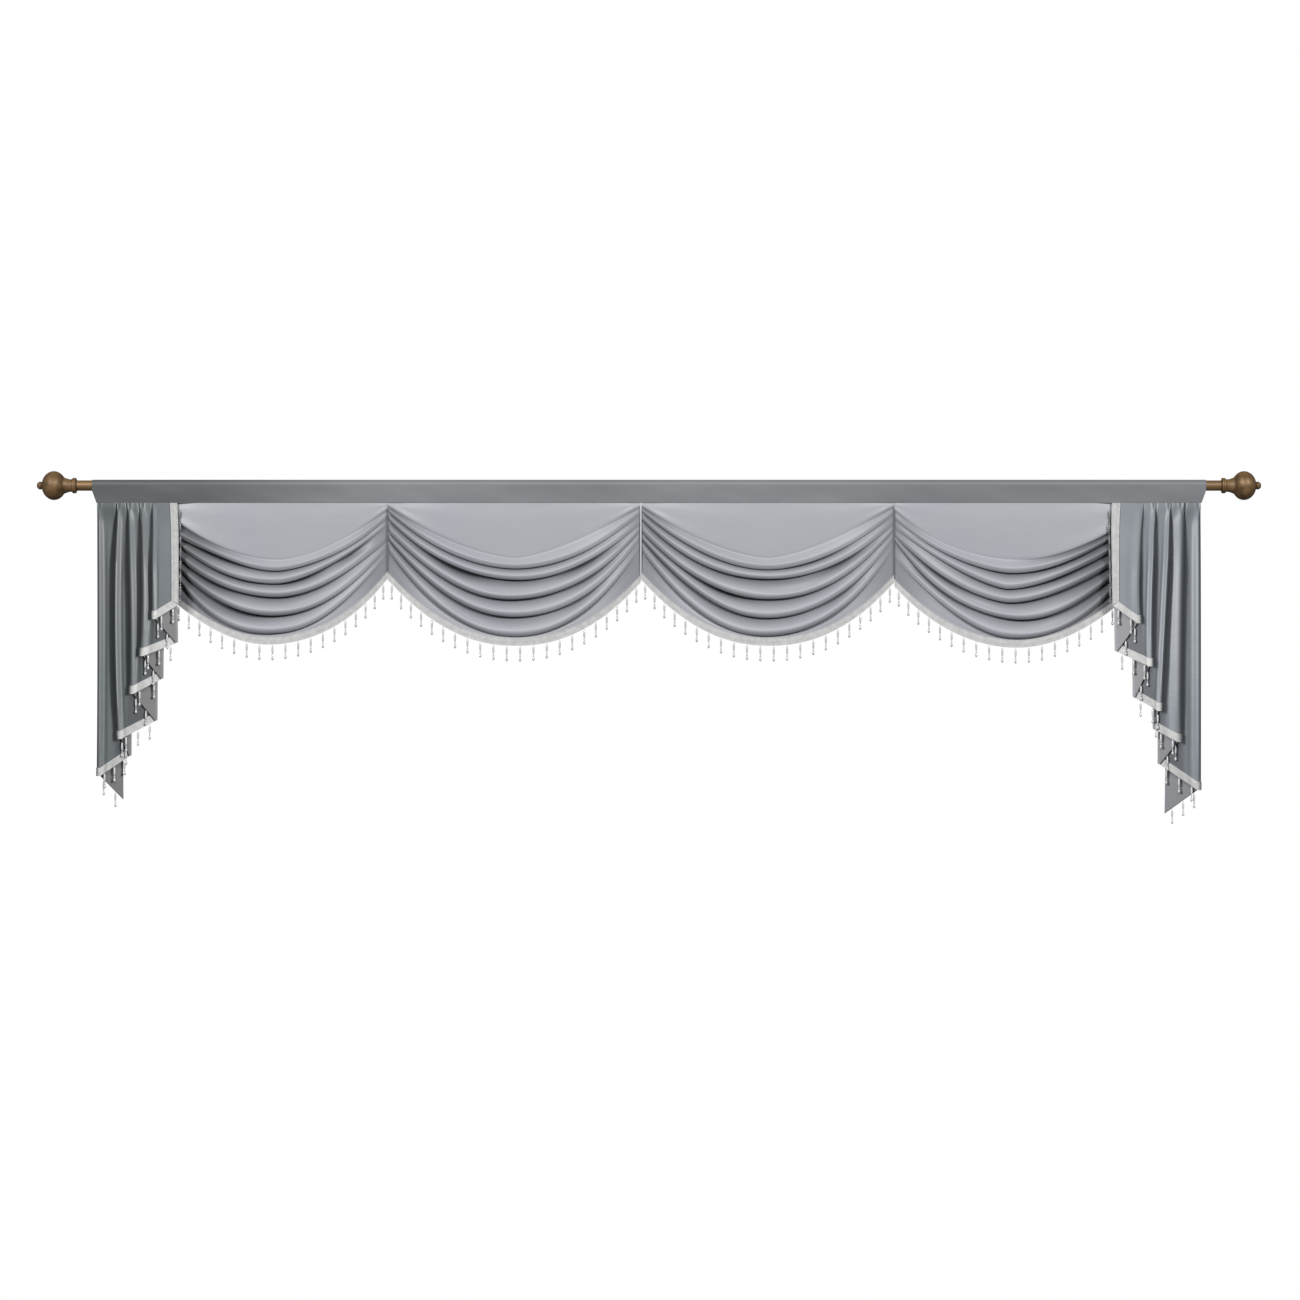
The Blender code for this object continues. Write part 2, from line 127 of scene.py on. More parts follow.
def apply_all(piece):
    """Applies every modifier of a piece, top to bottom."""
    only(piece)
    for modifier in list(piece.modifiers):
        bpy.ops.object.modifier_apply(modifier=modifier.name)


def smooth_below(degrees):
    """Smooth shading on the piece at hand, except over edges sharper than this."""
    bpy.ops.object.shade_smooth_by_angle(angle=math.radians(degrees))


def write_marks(mesh, name, values):
    """A number at each point of a mesh, which a material can read by the name."""
    marks = mesh.attributes.new(name, "FLOAT", "POINT")
    marks.data.foreach_set("value", np.asarray(values, dtype=np.float32))


def add_bar(name, sides, radius, length, middle=(0, 0, 0), turn=(0, 0, 0)):
    """A cylinder, which stands upright where it isn't turned."""
    nothing_selected()
    bpy.ops.mesh.primitive_cylinder_add(
        vertices=sides, radius=radius, depth=length, location=middle, rotation=turn
    )
    bar = bpy.context.object
    bar.name = name
    bpy.ops.object.transform_apply()
    return bar


def cloth_lengths(points):
    """Metres of cloth from the first column and from the first row to each point of a grid."""
    across = np.linalg.norm(np.diff(points, axis=1), axis=2).mean(axis=0)
    down = np.linalg.norm(np.diff(points, axis=0), axis=2)
    across = np.broadcast_to(np.concatenate([[0], np.cumsum(across)]), points.shape[:2])
    down = np.concatenate([np.zeros((1, points.shape[1])), np.cumsum(down, axis=0)])
    return np.stack([across, down], axis=2)


def lay_sheet(name, points, thickness, material, even=False, reverse=None, shade=None):
    """A grid laid on points[row, column], the first row on top, with a UV map in metres."""
    rows, columns = points.shape[:2]
    nothing_selected()
    bpy.ops.mesh.primitive_grid_add(x_subdivisions=columns - 1, y_subdivisions=rows - 1, size=1)
    piece = bpy.context.object
    piece.name = name
    mesh = piece.data
    flat = np.empty(len(mesh.vertices) * 3)
    mesh.vertices.foreach_get("co", flat)
    flat = flat.reshape(-1, 3)
    column = np.rint((flat[:, 0] + 0.5) * (columns - 1)).astype(int)
    row = np.rint((0.5 - flat[:, 1]) * (rows - 1)).astype(int)
    mesh.vertices.foreach_set("co", points[row, column].ravel())
    corner_vertex = np.empty(len(mesh.loops), dtype=int)
    mesh.loops.foreach_get("vertex_index", corner_vertex)
    lengths = cloth_lengths(points)[row, column]
    mesh.uv_layers.active.data.foreach_set("uv", lengths[corner_vertex].ravel())
    mesh.materials.append(material)
    if shade is not None:
        write_marks(mesh, "hollow", shade[row, column])
    mesh.update()
    solid = piece.modifiers.new("Thickness", "SOLIDIFY")
    solid.thickness = thickness
    solid.offset = 0
    solid.use_even_offset = even
    if reverse:
        mesh.materials.append(reverse)
        solid.material_offset = 1
    apply_all(piece)
    smooth_below(70)
    return piece


def faces_of(piece):
    return len(piece.data.polygons)


def mix(a, b, share):
    return a + (b - a) * share


def spread(row, share, bulge):
    """A measure given at the start, in the middle and at the end, where bulge is 1 in the middle."""
    start, middle, end = row
    return mix(start, end, share) + (middle - (start + end) / 2) * bulge


def arch(share):
    """0 at both ends and 1 in the middle."""
    return 4 * share * (1 - share)


def ease(share):
    """0 to 1, level at both ends."""
    held = np.clip(share, 0, 1)
    return held * held * (3 - 2 * held)


def smooth_through(knots, steps):
    """A smooth curve through knots[k, ...], steps points to each span."""
    padded = np.concatenate([2 * knots[:1] - knots[1:2], knots, 2 * knots[-1:] - knots[-2:-1]])
    found = []
    for span in range(len(knots) - 1):
        before, start, end, after = padded[span : span + 4]
        for step in range(steps):
            t = step / steps
            found.append(
                0.5 * (2 * start + (end - before) * t + (2 * before - 5 * start + 4 * end - after) * t**2
                       + (3 * start - before - 3 * end + after) * t**3)
            )
    found.append(knots[-1])
    return np.array(found)


def sheet_normals(points):
    """Unit normals of a grid of points, towards the room where its columns run to the right."""
    along = np.gradient(points, axis=1)
    down = np.gradient(points, axis=0)
    normals = np.cross(down, along)
    return normals / np.linalg.norm(normals, axis=2, keepdims=True)


print("helpers are ready")

# %% [markdown]
# ## Satin
#
# Satin is woven with long floating threads. They lie side by side, so the cloth shines more one way
# than the other, and the shine on a fold is soft and wide. A painted colour map could fake that, but
# the shader has it already: some anisotropy, a medium roughness and a little sheen. The threads and a
# few slubs are bump, far finer than the folds, and a slow drift of colour keeps it from looking flat.
# Deep in a fold the cloth is almost black. Each sheet carries that as a shade of its own, written when
# its folds are laid, and the satin blends towards a dark tint by it.

# %% Node helpers and the satin
EVEN = (1, 1, 1)
# Most of a noise lies between these shares of its range
NOISE_MIDDLE = (0.3, 0.7)
PLAIT_UNEVEN = 1.5
SHADING_REACH = 1.5
# The dark tint of painted shade, blended in by each mesh's hollow marks
PAINTED_SHADE_TINT = (0.035, 0.04, 0.046)


def set_up(tree, node, **settings):
    """Sets a node's properties and, by names with a capital, its inputs. An output given is linked."""
    for name, value in settings.items():
        if name[0].islower():
            setattr(node, name, value)
        elif isinstance(value, bpy.types.NodeSocket):
            tree.links.new(value, node.inputs[name.replace("_", " ")])
        else:
            node.inputs[name.replace("_", " ")].default_value = value
    return node


def add_node(tree, kind, **settings):
    return set_up(tree, tree.nodes.new(kind), **settings)


def noise(tree, coordinates, scale, stretch=EVEN, detail=2.0):
    """Noise of a scale in bumps to a metre, longer along an axis where stretch is small."""
    placed = add_node(tree, "ShaderNodeMapping", Scale=stretch, Vector=coordinates).outputs["Vector"]
    return add_node(tree, "ShaderNodeTexNoise", Scale=scale, Detail=detail, Vector=placed).outputs["Fac"]


def ramp_through(tree, share, stops):
    """Colours along a share from 0 to 1, through stops of (share, colour)."""
    ramp = add_node(tree, "ShaderNodeValToRGB", Fac=share)
    elements = ramp.color_ramp.elements
    for index, (place, colour) in enumerate(stops):
        stop = elements[index] if index < 2 else elements.new(place)
        stop.position = place
        stop.color = (*colour, 1)
    return ramp.outputs["Color"]


def mixed(tree, share, first, second, way="MIX"):
    node = add_node(tree, "ShaderNodeMixRGB", blend_type=way, Fac=share, Color1=first, Color2=second)
    return node.outputs["Color"]


def add_bumps(tree, where, layers):
    """Layers of noise or plait: (coordinates, scale, stretch, detail or "plait", height, strength)."""
    normal = None
    for kind, scale, stretch, detail, distance, strength in layers:
        if detail == "plait":
            height = add_node(
                tree, "ShaderNodeTexWave", wave_type="BANDS", bands_direction="DIAGONAL", Scale=scale,
                Distortion=PLAIT_UNEVEN, Vector=where[kind],
            ).outputs["Fac"]
        else:
            height = noise(tree, where[kind], scale, stretch, detail)
        bump = add_node(tree, "ShaderNodeBump", Distance=distance, Strength=strength, Height=height)
        if normal:
            tree.links.new(normal, bump.inputs["Normal"])
        normal = bump.outputs["Normal"]
    return normal


def shade_along(tree, coordinates, colour, stops):
    """The colour times a grey that changes along the strip, as (metres from the middle, grey)."""
    split = add_node(tree, "ShaderNodeSeparateXYZ", Vector=coordinates).outputs["X"]
    place = add_node(tree, "ShaderNodeMapRange", From_Min=-SHADING_REACH, From_Max=SHADING_REACH, Value=split)
    greys = [((x + SHADING_REACH) / (2 * SHADING_REACH), (grey, grey, grey)) for x, grey in stops]
    return mixed(tree, 1, colour, ramp_through(tree, place.outputs["Result"], greys), "MULTIPLY")


def darkened(tree, colour, marks, tint):
    """The colour, going over to a dark tint as far as the mesh's own marks say."""
    marked = add_node(tree, "ShaderNodeAttribute", attribute_name=marks)
    return mixed(tree, marked.outputs["Fac"], colour, (*tint, 1))


# By default the marks read are the hollow marks, which paint shade towards that dark tint
def make_material(name, mottle, tints, bumps, marks="hollow", tint=PAINTED_SHADE_TINT, stops=(), **finish):
    """A bumpy material, mottled between two tints by noise, greyer by stops and dark by its marks."""
    made = bpy.data.materials.new(name)
    made.use_nodes = True
    tree = made.node_tree
    where = tree.nodes.new("ShaderNodeTexCoord").outputs
    colour = ramp_through(tree, noise(tree, where["Object"], *mottle), zip(NOISE_MIDDLE, tints))
    if stops:
        colour = shade_along(tree, where["Object"], colour, stops)
    shader = tree.nodes["Principled BSDF"]
    set_up(tree, shader, Base_Color=darkened(tree, colour, marks, tint), **finish)
    normal = add_bumps(tree, where, bumps)
    if normal:
        tree.links.new(normal, shader.inputs["Normal"])
    return made


# The satin's slow rumple, its slubs and its threads
SATIN_BUMPS = (
    ("Object", 16, (0.6, 1, 1.3), 2, 1.6 * MM, 0.5),
    ("UV", 160, (0.05, 1, 1), 2, 0.2 * MM, 0.25),
    ("UV", 900, (1, 0.06, 1), 1, 0.1 * MM, 0.3),
)


def make_satin(name, cool, warm, stops=(), shine=0.5, gloss=0.46):
    """Grey satin, which shines more one way than the other."""
    made = make_material(
        name, (3.0,), (cool, warm), SATIN_BUMPS, stops=stops, Roughness=gloss, Anisotropic=0.6,
        Sheen_Weight=0.12, Sheen_Roughness=0.4, Specular_IOR_Level=shine,
    )
    tree = made.node_tree
    floats = add_node(tree, "ShaderNodeTangent", direction_type="UV_MAP")
    set_up(tree, tree.nodes["Principled BSDF"], Tangent=floats.outputs["Tangent"])
    return made


# Painted shade and sheen along the strip's length, as metres from the middle and a share of full brightness
HEADING_PAINTED_SHADING = (
    (-1.48, 0.45), (0.1, 0.97), (-1.21, 0.475), (-0.94, 0.79), (-0.67, 1.0), (-0.4, 0.93), (-0.13, 0.84),
    (0.41, 0.92), (0.68, 0.82),
)
swag_satin = make_satin("swag_satin", (0.35, 0.362, 0.398), (0.385, 0.387, 0.41))
# The welts' cords get a lighter copy of the satin: painted light, as a satin cord catches it
lit_cord_satin = make_satin("lit_cord_satin", (0.5, 0.51, 0.54), (0.54, 0.545, 0.565))
# The heading's satin is a darker copy of the swags' satin: painted shade
shaded_heading_tints = ((0.205, 0.215, 0.225), (0.225, 0.232, 0.242))
heading_satin = make_satin("heading_satin", *shaded_heading_tints, HEADING_PAINTED_SHADING, 0.4, 0.5)
# Painted shade: the cascades' satins are darker copies of the swags' satin, the left darker than the right
left_satin = make_satin("left_cascade_satin", (0.125, 0.139, 0.147), (0.145, 0.157, 0.167))
right_satin = make_satin("right_cascade_satin", (0.19, 0.207, 0.228), (0.22, 0.236, 0.258))
# The reverse sides are duller, and painted darker than the swags, the left more than the right
left_reverse = make_satin("left_reverse", (0.17, 0.17, 0.175), (0.20, 0.195, 0.20), (), 0.3, 0.6)
right_reverse = make_satin("right_reverse", (0.24, 0.245, 0.26), (0.27, 0.265, 0.28), (), 0.3, 0.6)
print("satin in", len(bpy.data.materials), "materials with those of the part")

# %% [markdown]
# ## The rod
#
# The pole is turned wood with a bronze-brown lacquer. It could stay the faceted solid of the part, but
# a close view would show its flats, so a finer cylinder stands in for it, with its end edges bevelled.
# The lacquer is brown with streaks that run along the pole, and darker in the hollows.

# %% Bronzed wood, and the pole
ROD_RADIUS = 14 * MM
ROD_HALF_LENGTH = 1.566
ROD_SIDES, ROD_END_BEVEL = 64, 1.5 * MM
GROOVE_TINT = (0.045, 0.026, 0.015)


def make_bronzed_wood(name, stretch):
    """Brown lacquer over turned wood: mottled along the grain, darker in the grooves."""
    return make_material(
        name, (60, stretch, 4), ((0.12, 0.067, 0.027), (0.265, 0.156, 0.066)),
        [("Object", 350, stretch, 3, 0.3 * MM, 0.35)], "groove", GROOVE_TINT, Metallic=0.2, Roughness=0.48,
    )


pole_wood = make_bronzed_wood("pole_bronze", (0.05, 1, 1))
finial_wood = make_bronzed_wood("finial_bronze", EVEN)


def turn_rod():
    rod = add_bar("pole", ROD_SIDES, ROD_RADIUS, 2 * ROD_HALF_LENGTH, turn=(0, math.pi / 2, 0))
    mark(rod, "FACE", lambda face: abs(face.normal.x) > 0.9)
    bpy.ops.mesh.bevel(offset=ROD_END_BEVEL, segments=3)
    bpy.ops.object.mode_set(mode="OBJECT")
    smooth_below(30)
    rod.data.materials.append(pole_wood)
    return rod


rod = turn_rod()
print("pole faces:", faces_of(rod))

# %% [markdown]
# ## The finials
#
# Each end has a turned finial: a collar that meets the pole, a waisted neck, a ball and a small
# button. On a lathe the tool runs along an outline, and the same thing is done here by hand: a ring is
# extruded from step to step and resized to the outline's radius, from the button back into the socket
# that holds the pole. Spin would do it too, but rings can be as dense as each moulding needs.

# %% Extruding rings along the outline
FINIAL_FACE = 1.546
RING_POINTS = 64
SOCKET_RADIUS = 14.6 * MM
SOCKET_DEPTH = 20.3 * MM
BALL_START, BALL_MIDDLE, BALL_END = 33.5 * MM, 60.5 * MM, 91.5 * MM
BALL_RADIUS, BALL_HALF_LENGTH = 39 * MM, 33 * MM
BALL_RINGS, BALL_CUT = 22, 0.1
GROOVE_REACH, GROOVE_DEPTH, GROOVE_LIMIT = 4 * MM, 9 * MM, 0.75
# Distance from the collar's face and radius, in millimetres
BUTTON = ((106.5, 2), (106, 4.5), (104.5, 7.2), (101.5, 9.8), (98, 10.7), (95, 10.5), (93, 9.8), (92, 10.6))
NECK = ((31.5, 21.6), (29.5, 20.6), (27, 19.8), (24, 18.8), (21, 17.8), (18, 17.1), (15, 16.9), (12.5, 17.4))
COLLAR = (
    (10.8, 18), (10, 19.4), (9.2, 20.6), (8, 21), (5.6, 21),
    (4.8, 20), (4, 21), (1.6, 21), (0.5, 20.2), (0, 18.4),
)


def finial_outline():
    """Distance and radius from the button's tip back over the ball, the neck and the collar."""
    outline = [(along * MM, radius * MM) for along, radius in BUTTON]
    for ring in range(BALL_RINGS + 1):
        along = mix(BALL_END, BALL_START, ring / BALL_RINGS)
        off = (along - BALL_MIDDLE) / BALL_HALF_LENGTH
        outline.append((along, BALL_RADIUS * math.sqrt(max(BALL_CUT, 1 - off * off))))
    outline += [(along * MM, radius * MM) for along, radius in NECK + COLLAR]
    return outline + [(0, SOCKET_RADIUS), (SOCKET_DEPTH, SOCKET_RADIUS)]


def paint_grooves(finial, outline):
    """Marks how deep each ring lies below its neighbours, to darken the grooves."""
    rings = np.array(outline)
    depth = [
        max(0, rings[np.abs(rings[:, 0] - along) < GROOVE_REACH, 1].max() - radius) / GROOVE_DEPTH
        for along, radius in outline
    ]
    marks = []
    for vertex in finial.data.vertices:
        reach = math.hypot(vertex.co.y, vertex.co.z)
        along = abs(vertex.co.x) - FINIAL_FACE
        nearest = int(np.argmin(np.hypot(rings[:, 0] - along, rings[:, 1] - reach)))
        marks.append(min(GROOVE_LIMIT, depth[nearest]))
    write_marks(finial.data, "groove", marks)


def turn_finial(name, side):
    outline = finial_outline()
    along, radius = outline[0]
    nothing_selected()
    bpy.ops.mesh.primitive_circle_add(
        vertices=RING_POINTS, radius=radius, rotation=(0, math.pi / 2, 0),
        location=(side * (FINIAL_FACE + along), 0, 0), enter_editmode=True,
    )
    bpy.ops.mesh.select_mode(type="VERT")
    bpy.ops.mesh.select_all(action="SELECT")
    for next_along, next_radius in outline[1:]:
        step = side * (next_along - along)
        bpy.ops.mesh.extrude_region_move(TRANSFORM_OT_translate={"value": (step, 0, 0)})
        ratio = next_radius / radius
        along, radius = next_along, next_radius
        middle = (side * (FINIAL_FACE + along), 0, 0)
        bpy.ops.transform.resize(value=(1, ratio, ratio), orient_type="GLOBAL", center_override=middle)
    bpy.ops.mesh.select_all(action="SELECT")
    bpy.ops.mesh.fill_holes(sides=RING_POINTS + 1)
    bpy.ops.mesh.normals_make_consistent(inside=False)
    bpy.ops.object.mode_set(mode="OBJECT")
    finial = bpy.context.object
    finial.name = name
    bpy.ops.object.transform_apply()
    smooth_below(40)
    finial.data.materials.append(finial_wood)
    paint_grooves(finial, outline)
    return finial


finials = {
    "finial_left": turn_finial("ball_finial_left", -1),
    "finial_right": turn_finial("ball_finial_right", 1),
}
print("finial faces:", faces_of(finials["finial_left"]))

# %% [markdown]
# ## The heading
#
# The heading is one strip folded over the pole and stitched along its foot, where the swags are sewn
# in. Its ends slant inwards. Real cloth pulled over a pole never lies dead flat, so the strip gets
# slow waves between the pole and its foot, where it is held.

# %% The rod pocket
CLOTH = 1.2 * MM
POCKET_RADIUS = 15.2 * MM
POCKET_END_ANGLE = math.radians(-32)
HEADING_DROP = 46.4 * MM
HEADING_FOOT, TURNED_UNDER = 3.8 * MM, 1.6 * MM
HEADING_HALF_TOP, HEADING_HALF_FOOT = 1.502, 1.490
HEADING_TAPER_FROM = 13.5 * MM
HEADING_COLUMNS = 420
ARC_STEPS, WALL_STEPS = 22, 9
SHOULDER = 0.78
# Waves on the front wall: height in millimetres, radians to a metre along and down, and phase
HEADING_WAVES = ((0.5, 9.3, 0, 0.6), (0.3, 23.0, 0, 0), (0.2, 51.0, 60, 0))
FRONT_FROM = 0.98


def heading_section():
    """The pocket's closed path as (y, z): up the front wall, over the pole and down the slanted back."""
    up_front = np.linspace(-HEADING_DROP, 0, WALL_STEPS, endpoint=False)
    front = np.stack([np.full(WALL_STEPS, -POCKET_RADIUS), up_front], axis=1)
    angles = np.linspace(math.pi, POCKET_END_ANGLE, ARC_STEPS + 1)[:, None]
    ring = np.concatenate([np.cos(angles), np.sin(angles)], axis=1)
    squareness = np.where(angles > math.pi / 2, SHOULDER, 1)
    over = POCKET_RADIUS * np.sign(ring) * np.abs(ring) ** squareness
    foot = np.array([HEADING_FOOT - POCKET_RADIUS, -HEADING_DROP])
    back = mix(over[-1], foot, np.linspace(0, 1, WALL_STEPS + 1)[1:, None])
    turned_under = [(TURNED_UNDER - POCKET_RADIUS, -HEADING_DROP)]
    return np.concatenate([front, over, back, turned_under])


def fold_heading():
    section = heading_section()[::-1]
    y, z = section[:, :1], section[:, 1:]
    low = np.clip((-z - HEADING_TAPER_FROM) / (HEADING_DROP - HEADING_TAPER_FROM), 0, 1)
    x = mix(HEADING_HALF_TOP, HEADING_HALF_FOOT, low) * np.linspace(-1, 1, HEADING_COLUMNS)
    loose = np.sin(np.pi * np.clip(-z / HEADING_DROP, 0, 1))
    wave = sum(height * np.sin(x * along + z * down + at) for height, along, down, at in HEADING_WAVES)
    front = y < -POCKET_RADIUS * FRONT_FROM
    points = np.stack([x, y - front * loose * wave * MM + 0 * x, z + 0 * x], axis=2)
    return lay_sheet("rod_pocket", points, CLOTH, heading_satin, even=True)


heading = fold_heading()
print("heading faces:", faces_of(heading))

# %% [markdown]
# ## The swags
#
# A swag is cut wide and short, then its sides are pleated together and sewn into the seam, so the
# extra cloth falls between them in rolls. Each roll comes out of a dark hollow as a broad lit face,
# turns over a crisp crest and tucks back under itself. Simulation could drape such a cloth, but it
# would not put the rolls where this valance has them. So each roll is a row of a table, measured at
# both seams and in the middle, and one function draws the cloth's path down through all the rolls.

# %% Where the rolls lie
HUNG_TOP = HEADING_DROP + CLOTH / 2 + 0.3 * MM
SWAG_PLANE = -13.2 * MM
SEAMS = (-0.705, -0.022, 0.661)
SWAG_INSET = 0.5 * MM
SEAM_VALLEY, SEAM_REMAINS = 9 * MM, 0.15
SWAG_OUTER_LEFT, SWAG_OUTER_RIGHT = -1.281, 1.263
TUCK_BACK, TUCK_BACK_LENGTH = 7 * MM, 70 * MM
# For each fold, at the left seam, in the middle and at the right seam: three drops under the heading in
# millimetres, two values for how round each half of the curve is, three for how far it stands out in
# millimetres, and three for how far it is tucked under, from 0 where it fades into the cloth to 1
DROPS, ROUNDS, OUTS, DEEPS = slice(0, 3), slice(3, 5), slice(5, 8), slice(8, 11)
MIDDLE_SWAG = {
    "brow": (9, 146, 9, 1.6, 1.4, 7, 3.5, 4, 0.5, 0, 0.15),
    "roll_1": (22, 178, 28, 1.9, 1.9, 8, 14, 4, 0.7, 1, 0.1),
    "roll_2": (42, 206, 55, 2.15, 1.95, 9, 17, 4, 0.8, 1, 0.1),
    "roll_3": (75, 259, 72, 1.95, 2.2, 9, 24, 4, 0.75, 0.95, 0.2),
    "roll_4": (95, 308, 95, 1.9, 2.2, 9, 25, 4, 0.9, 0.85, 0.05),
    "roll_5": (125, 359, 120, 2.0, 2.2, 8, 25, 4, 0.45, 0.95, 0.05),
    "hem": (206, 385, 214, 2.15, 2.2, 5, 12, 4, 0, 0, 0),
}
LEFT_SWAG = {
    "brow": (46, 150, 18, 1.9, 1.65, 9, 3.5, 3, 1, 0, 0.1),
    "roll_1": (88, 181, 40, 1.4, 2.1, 15, 15, 4, 1, 1, 0.15),
    "roll_2": (104, 217, 60, 1.95, 1.55, 16, 18, 4, 0.9, 1, 0.1),
    "roll_3": (137, 254, 100, 2.0, 1.75, 18, 22, 4, 1, 1, 0.15),
    "roll_4": (165, 301, 120, 2.1, 2.1, 19, 25, 4, 1, 0.85, 0.05),
    "roll_5": (190, 350, 140, 2.5, 1.8, 18, 24, 4, 1, 0.75, 0.05),
    "hem": (266, 380, 205, 1.85, 2.3, 8, 12, 4, 0, 0, 0),
}
RIGHT_SWAG = {
    "brow": (20, 148, 68, 2.2, 1.95, 3, 3.5, 8, 0.1, 0, 1),
    "roll_1": (42, 189, 88, 1.85, 1.65, 4, 16, 14, 0.15, 1, 1),
    "roll_2": (66, 230, 122, 1.55, 1.5, 4, 19, 17, 0.15, 1, 1),
    "roll_3": (88, 268, 158, 1.85, 1.5, 4, 22, 19, 0.5, 0.9, 1),
    "roll_4": (100, 312, 190, 2.2, 1.8, 5, 25, 19, 0.5, 0.8, 1),
    "roll_5": (150, 361, 222, 1.65, 2.2, 5, 24, 18, 0.1, 0.75, 0.8),
    "hem": (225, 389, 276, 2.15, 1.9, 4, 12, 8, 0, 0, 0),
}
ROLLS = ("roll_1", "roll_2", "roll_3", "roll_4", "roll_5")


def fold_line(table, name, u):
    """(drop, how far out) of one fold along u from 0 to 1, in metres, the drop from the heading."""
    row = table[name]
    off_middle = np.abs(2 * u - 1)
    drop = spread(row[DROPS], u, 1 - off_middle ** mix(*row[ROUNDS], ease(u)))
    out = spread(row[OUTS], u, 1 - off_middle**3)
    return drop * MM, out * MM


def tucked(table, name, u):
    """How far a fold is tucked under at u, from 0 to 1."""
    return np.clip(spread(table[name][DEEPS], u, arch(u)), 0, 1)


print("rolls in each swag:", len(ROLLS))

# %% [markdown]
# The path of one roll has seven knots. The first leaves the hollow, the shoulder is the broad lit
# face, a shallow crease runs just above the crest, and the lip, the underside and the tuck carry the
# cloth back up behind the roll. Two slow waves keep neighbouring rolls from being copies. Each knot
# has a shade as well, full in the hollows and none on the lit face. Where a fold fades out towards a
# seam, its tuck runs out to a small step.

# %% The path down through the rolls
SWAG_COLUMNS = 150
SPAN_STEPS = 4
END_CROWDING = 0.6
HOLLOW_SHARE = 0.05
CREST_ABOVE_LIP, CREST_SPACE_SHARE = 10 * MM, 0.3
TUCK_SHARE = 0.3
FADED_STEP = 3 * MM
CREASE = 1.3 * MM
# The slow waves in a roll's reach, its lip and its crease: how strong, then how many radians across
REACH_WAVE, LIP_WAVE, CREASE_WAVE = (0.09, 7), (1.4 * MM, 9), (0.4, 5)
# Share of the way down a roll's face, share of its reach, and how much of its crease, of its wider
# hollow and of the hollow's shade lie there
FACE_KNOTS = ((0.2, 0.08, 0, 1, 1.0), (0.48, 0.46, 0, 0.8, 0.55), (0.76, 0.9, 1, 0, 0.1))
# The lip and the underside: drop from the lip where the roll is faded and where it is tucked, share
# of its reach lost and share of the shade
CURL_KNOTS = ((0, 0, 0.34, 0.35), (0.4 * FADED_STEP, -1.5 * MM, 0.68, 0.85))
# Painted shade under a tucked roll, and how much wider a hollow must be to add a full painted shade
PAINTED_HOLLOW_SHADE = 0.74
WIDER_PER_PAINTED_SHADE = 16 * MM
# Share of shade at a side and how far it reaches in, beside a cascade, at a seam and close to a seam
OUTER_DUSK, SEAM_DUSK, SEAM_DITCH = (0.72, 0.2), (0.38, 0.12), (0.5, 5 * MM)
# Creases that run only part of the way, by swag and roll: middle and half width as shares of the
# swag, depth in millimetres
PART_CREASES = {
    (1, 2): [(0.2, 0.22, 5)], (1, 4): [(0.62, 0.2, 3)], (2, 3): [(0.45, 0.25, 3)], (2, 5): [(0.3, 0.2, 3)],
    (3, 3): [(0.6, 0.22, 3.5)], (3, 4): [(0.3, 0.2, 3)], (4, 4): [(0.4, 0.25, 4)], (4, 5): [(0.7, 0.2, 3.5)],
}
# Places where the hollow above a roll is wider, in the same way
PART_HOLLOWS = {
    (1, 2): [(0.18, 0.24, 7)],
    (1, 3): [(0.3, 0.2, 4), (0.6, 0.18, 4), (0.83, 0.12, 6)],
    (1, 4): [(0.16, 0.2, 6)],
    (1, 5): [(0.3, 0.2, 4)],
    (2, 3): [(0.26, 0.2, 7), (0.79, 0.17, 7)],
    (2, 4): [(0.8, 0.14, 4)],
    (2, 5): [(0.78, 0.15, 4)],
    (3, 2): [(0.7, 0.2, 3)],
    (3, 3): [(0.8, 0.16, 7)],
    (3, 4): [(0.3, 0.2, 5)],
    (3, 5): [(0.8, 0.15, 5)],
    (4, 1): [(0.72, 0.2, 4)],
    (4, 2): [(0.75, 0.22, 5)],
    (4, 3): [(0.75, 0.2, 5)],
    (4, 4): [(0.2, 0.2, 6)],
    (4, 5): [(0.2, 0.2, 5)],
}
BRAID_WIDTH, HEM_LEAN = 20 * MM, 1.0 * MM
# The flat panel above the rolls: its belly, share of the brow's reach, and knots down to the brow
PANEL_BELLY, PANEL_REACH, PANEL_KNOTS = 1.5 * MM, 0.6, ((0.3, 0.7), (0.7, 1))
# The brow, which is the panel's own rounded foot, the reach left as it curls, and how it tucks
BROW_ROUND, BROW_CREST_SHARE = 7 * MM, 0.6
BROW_CURL, BROW_TUCK = (0.9, 0.6), (0.2, 0.8, 0.1)
# The knot between the last roll and the braid, as shares down and out, and how swags differ in phase
SKIRT_KNOT = (0.55, 0.75)
PHASE_BY_SWAG = 1.7


def deeper(places, u):
    """How much deeper a roll runs at u, from its places in a table."""
    added = 0 * u
    for middle, half_width, depth in places:
        added = added + depth * MM * np.cos(np.pi / 2 * np.clip((u - middle) / half_width, -1, 1)) ** 2
    return added


def dusk_at(edges):
    """Shade at the swag's two sides: deep beside a cascade, slight at a seam."""
    total = 0
    for inwards, outer in edges:
        for amount, reach in [OUTER_DUSK] if outer else [SEAM_DUSK, SEAM_DITCH]:
            total = total + amount * (1 - ease(inwards / reach))
    return total


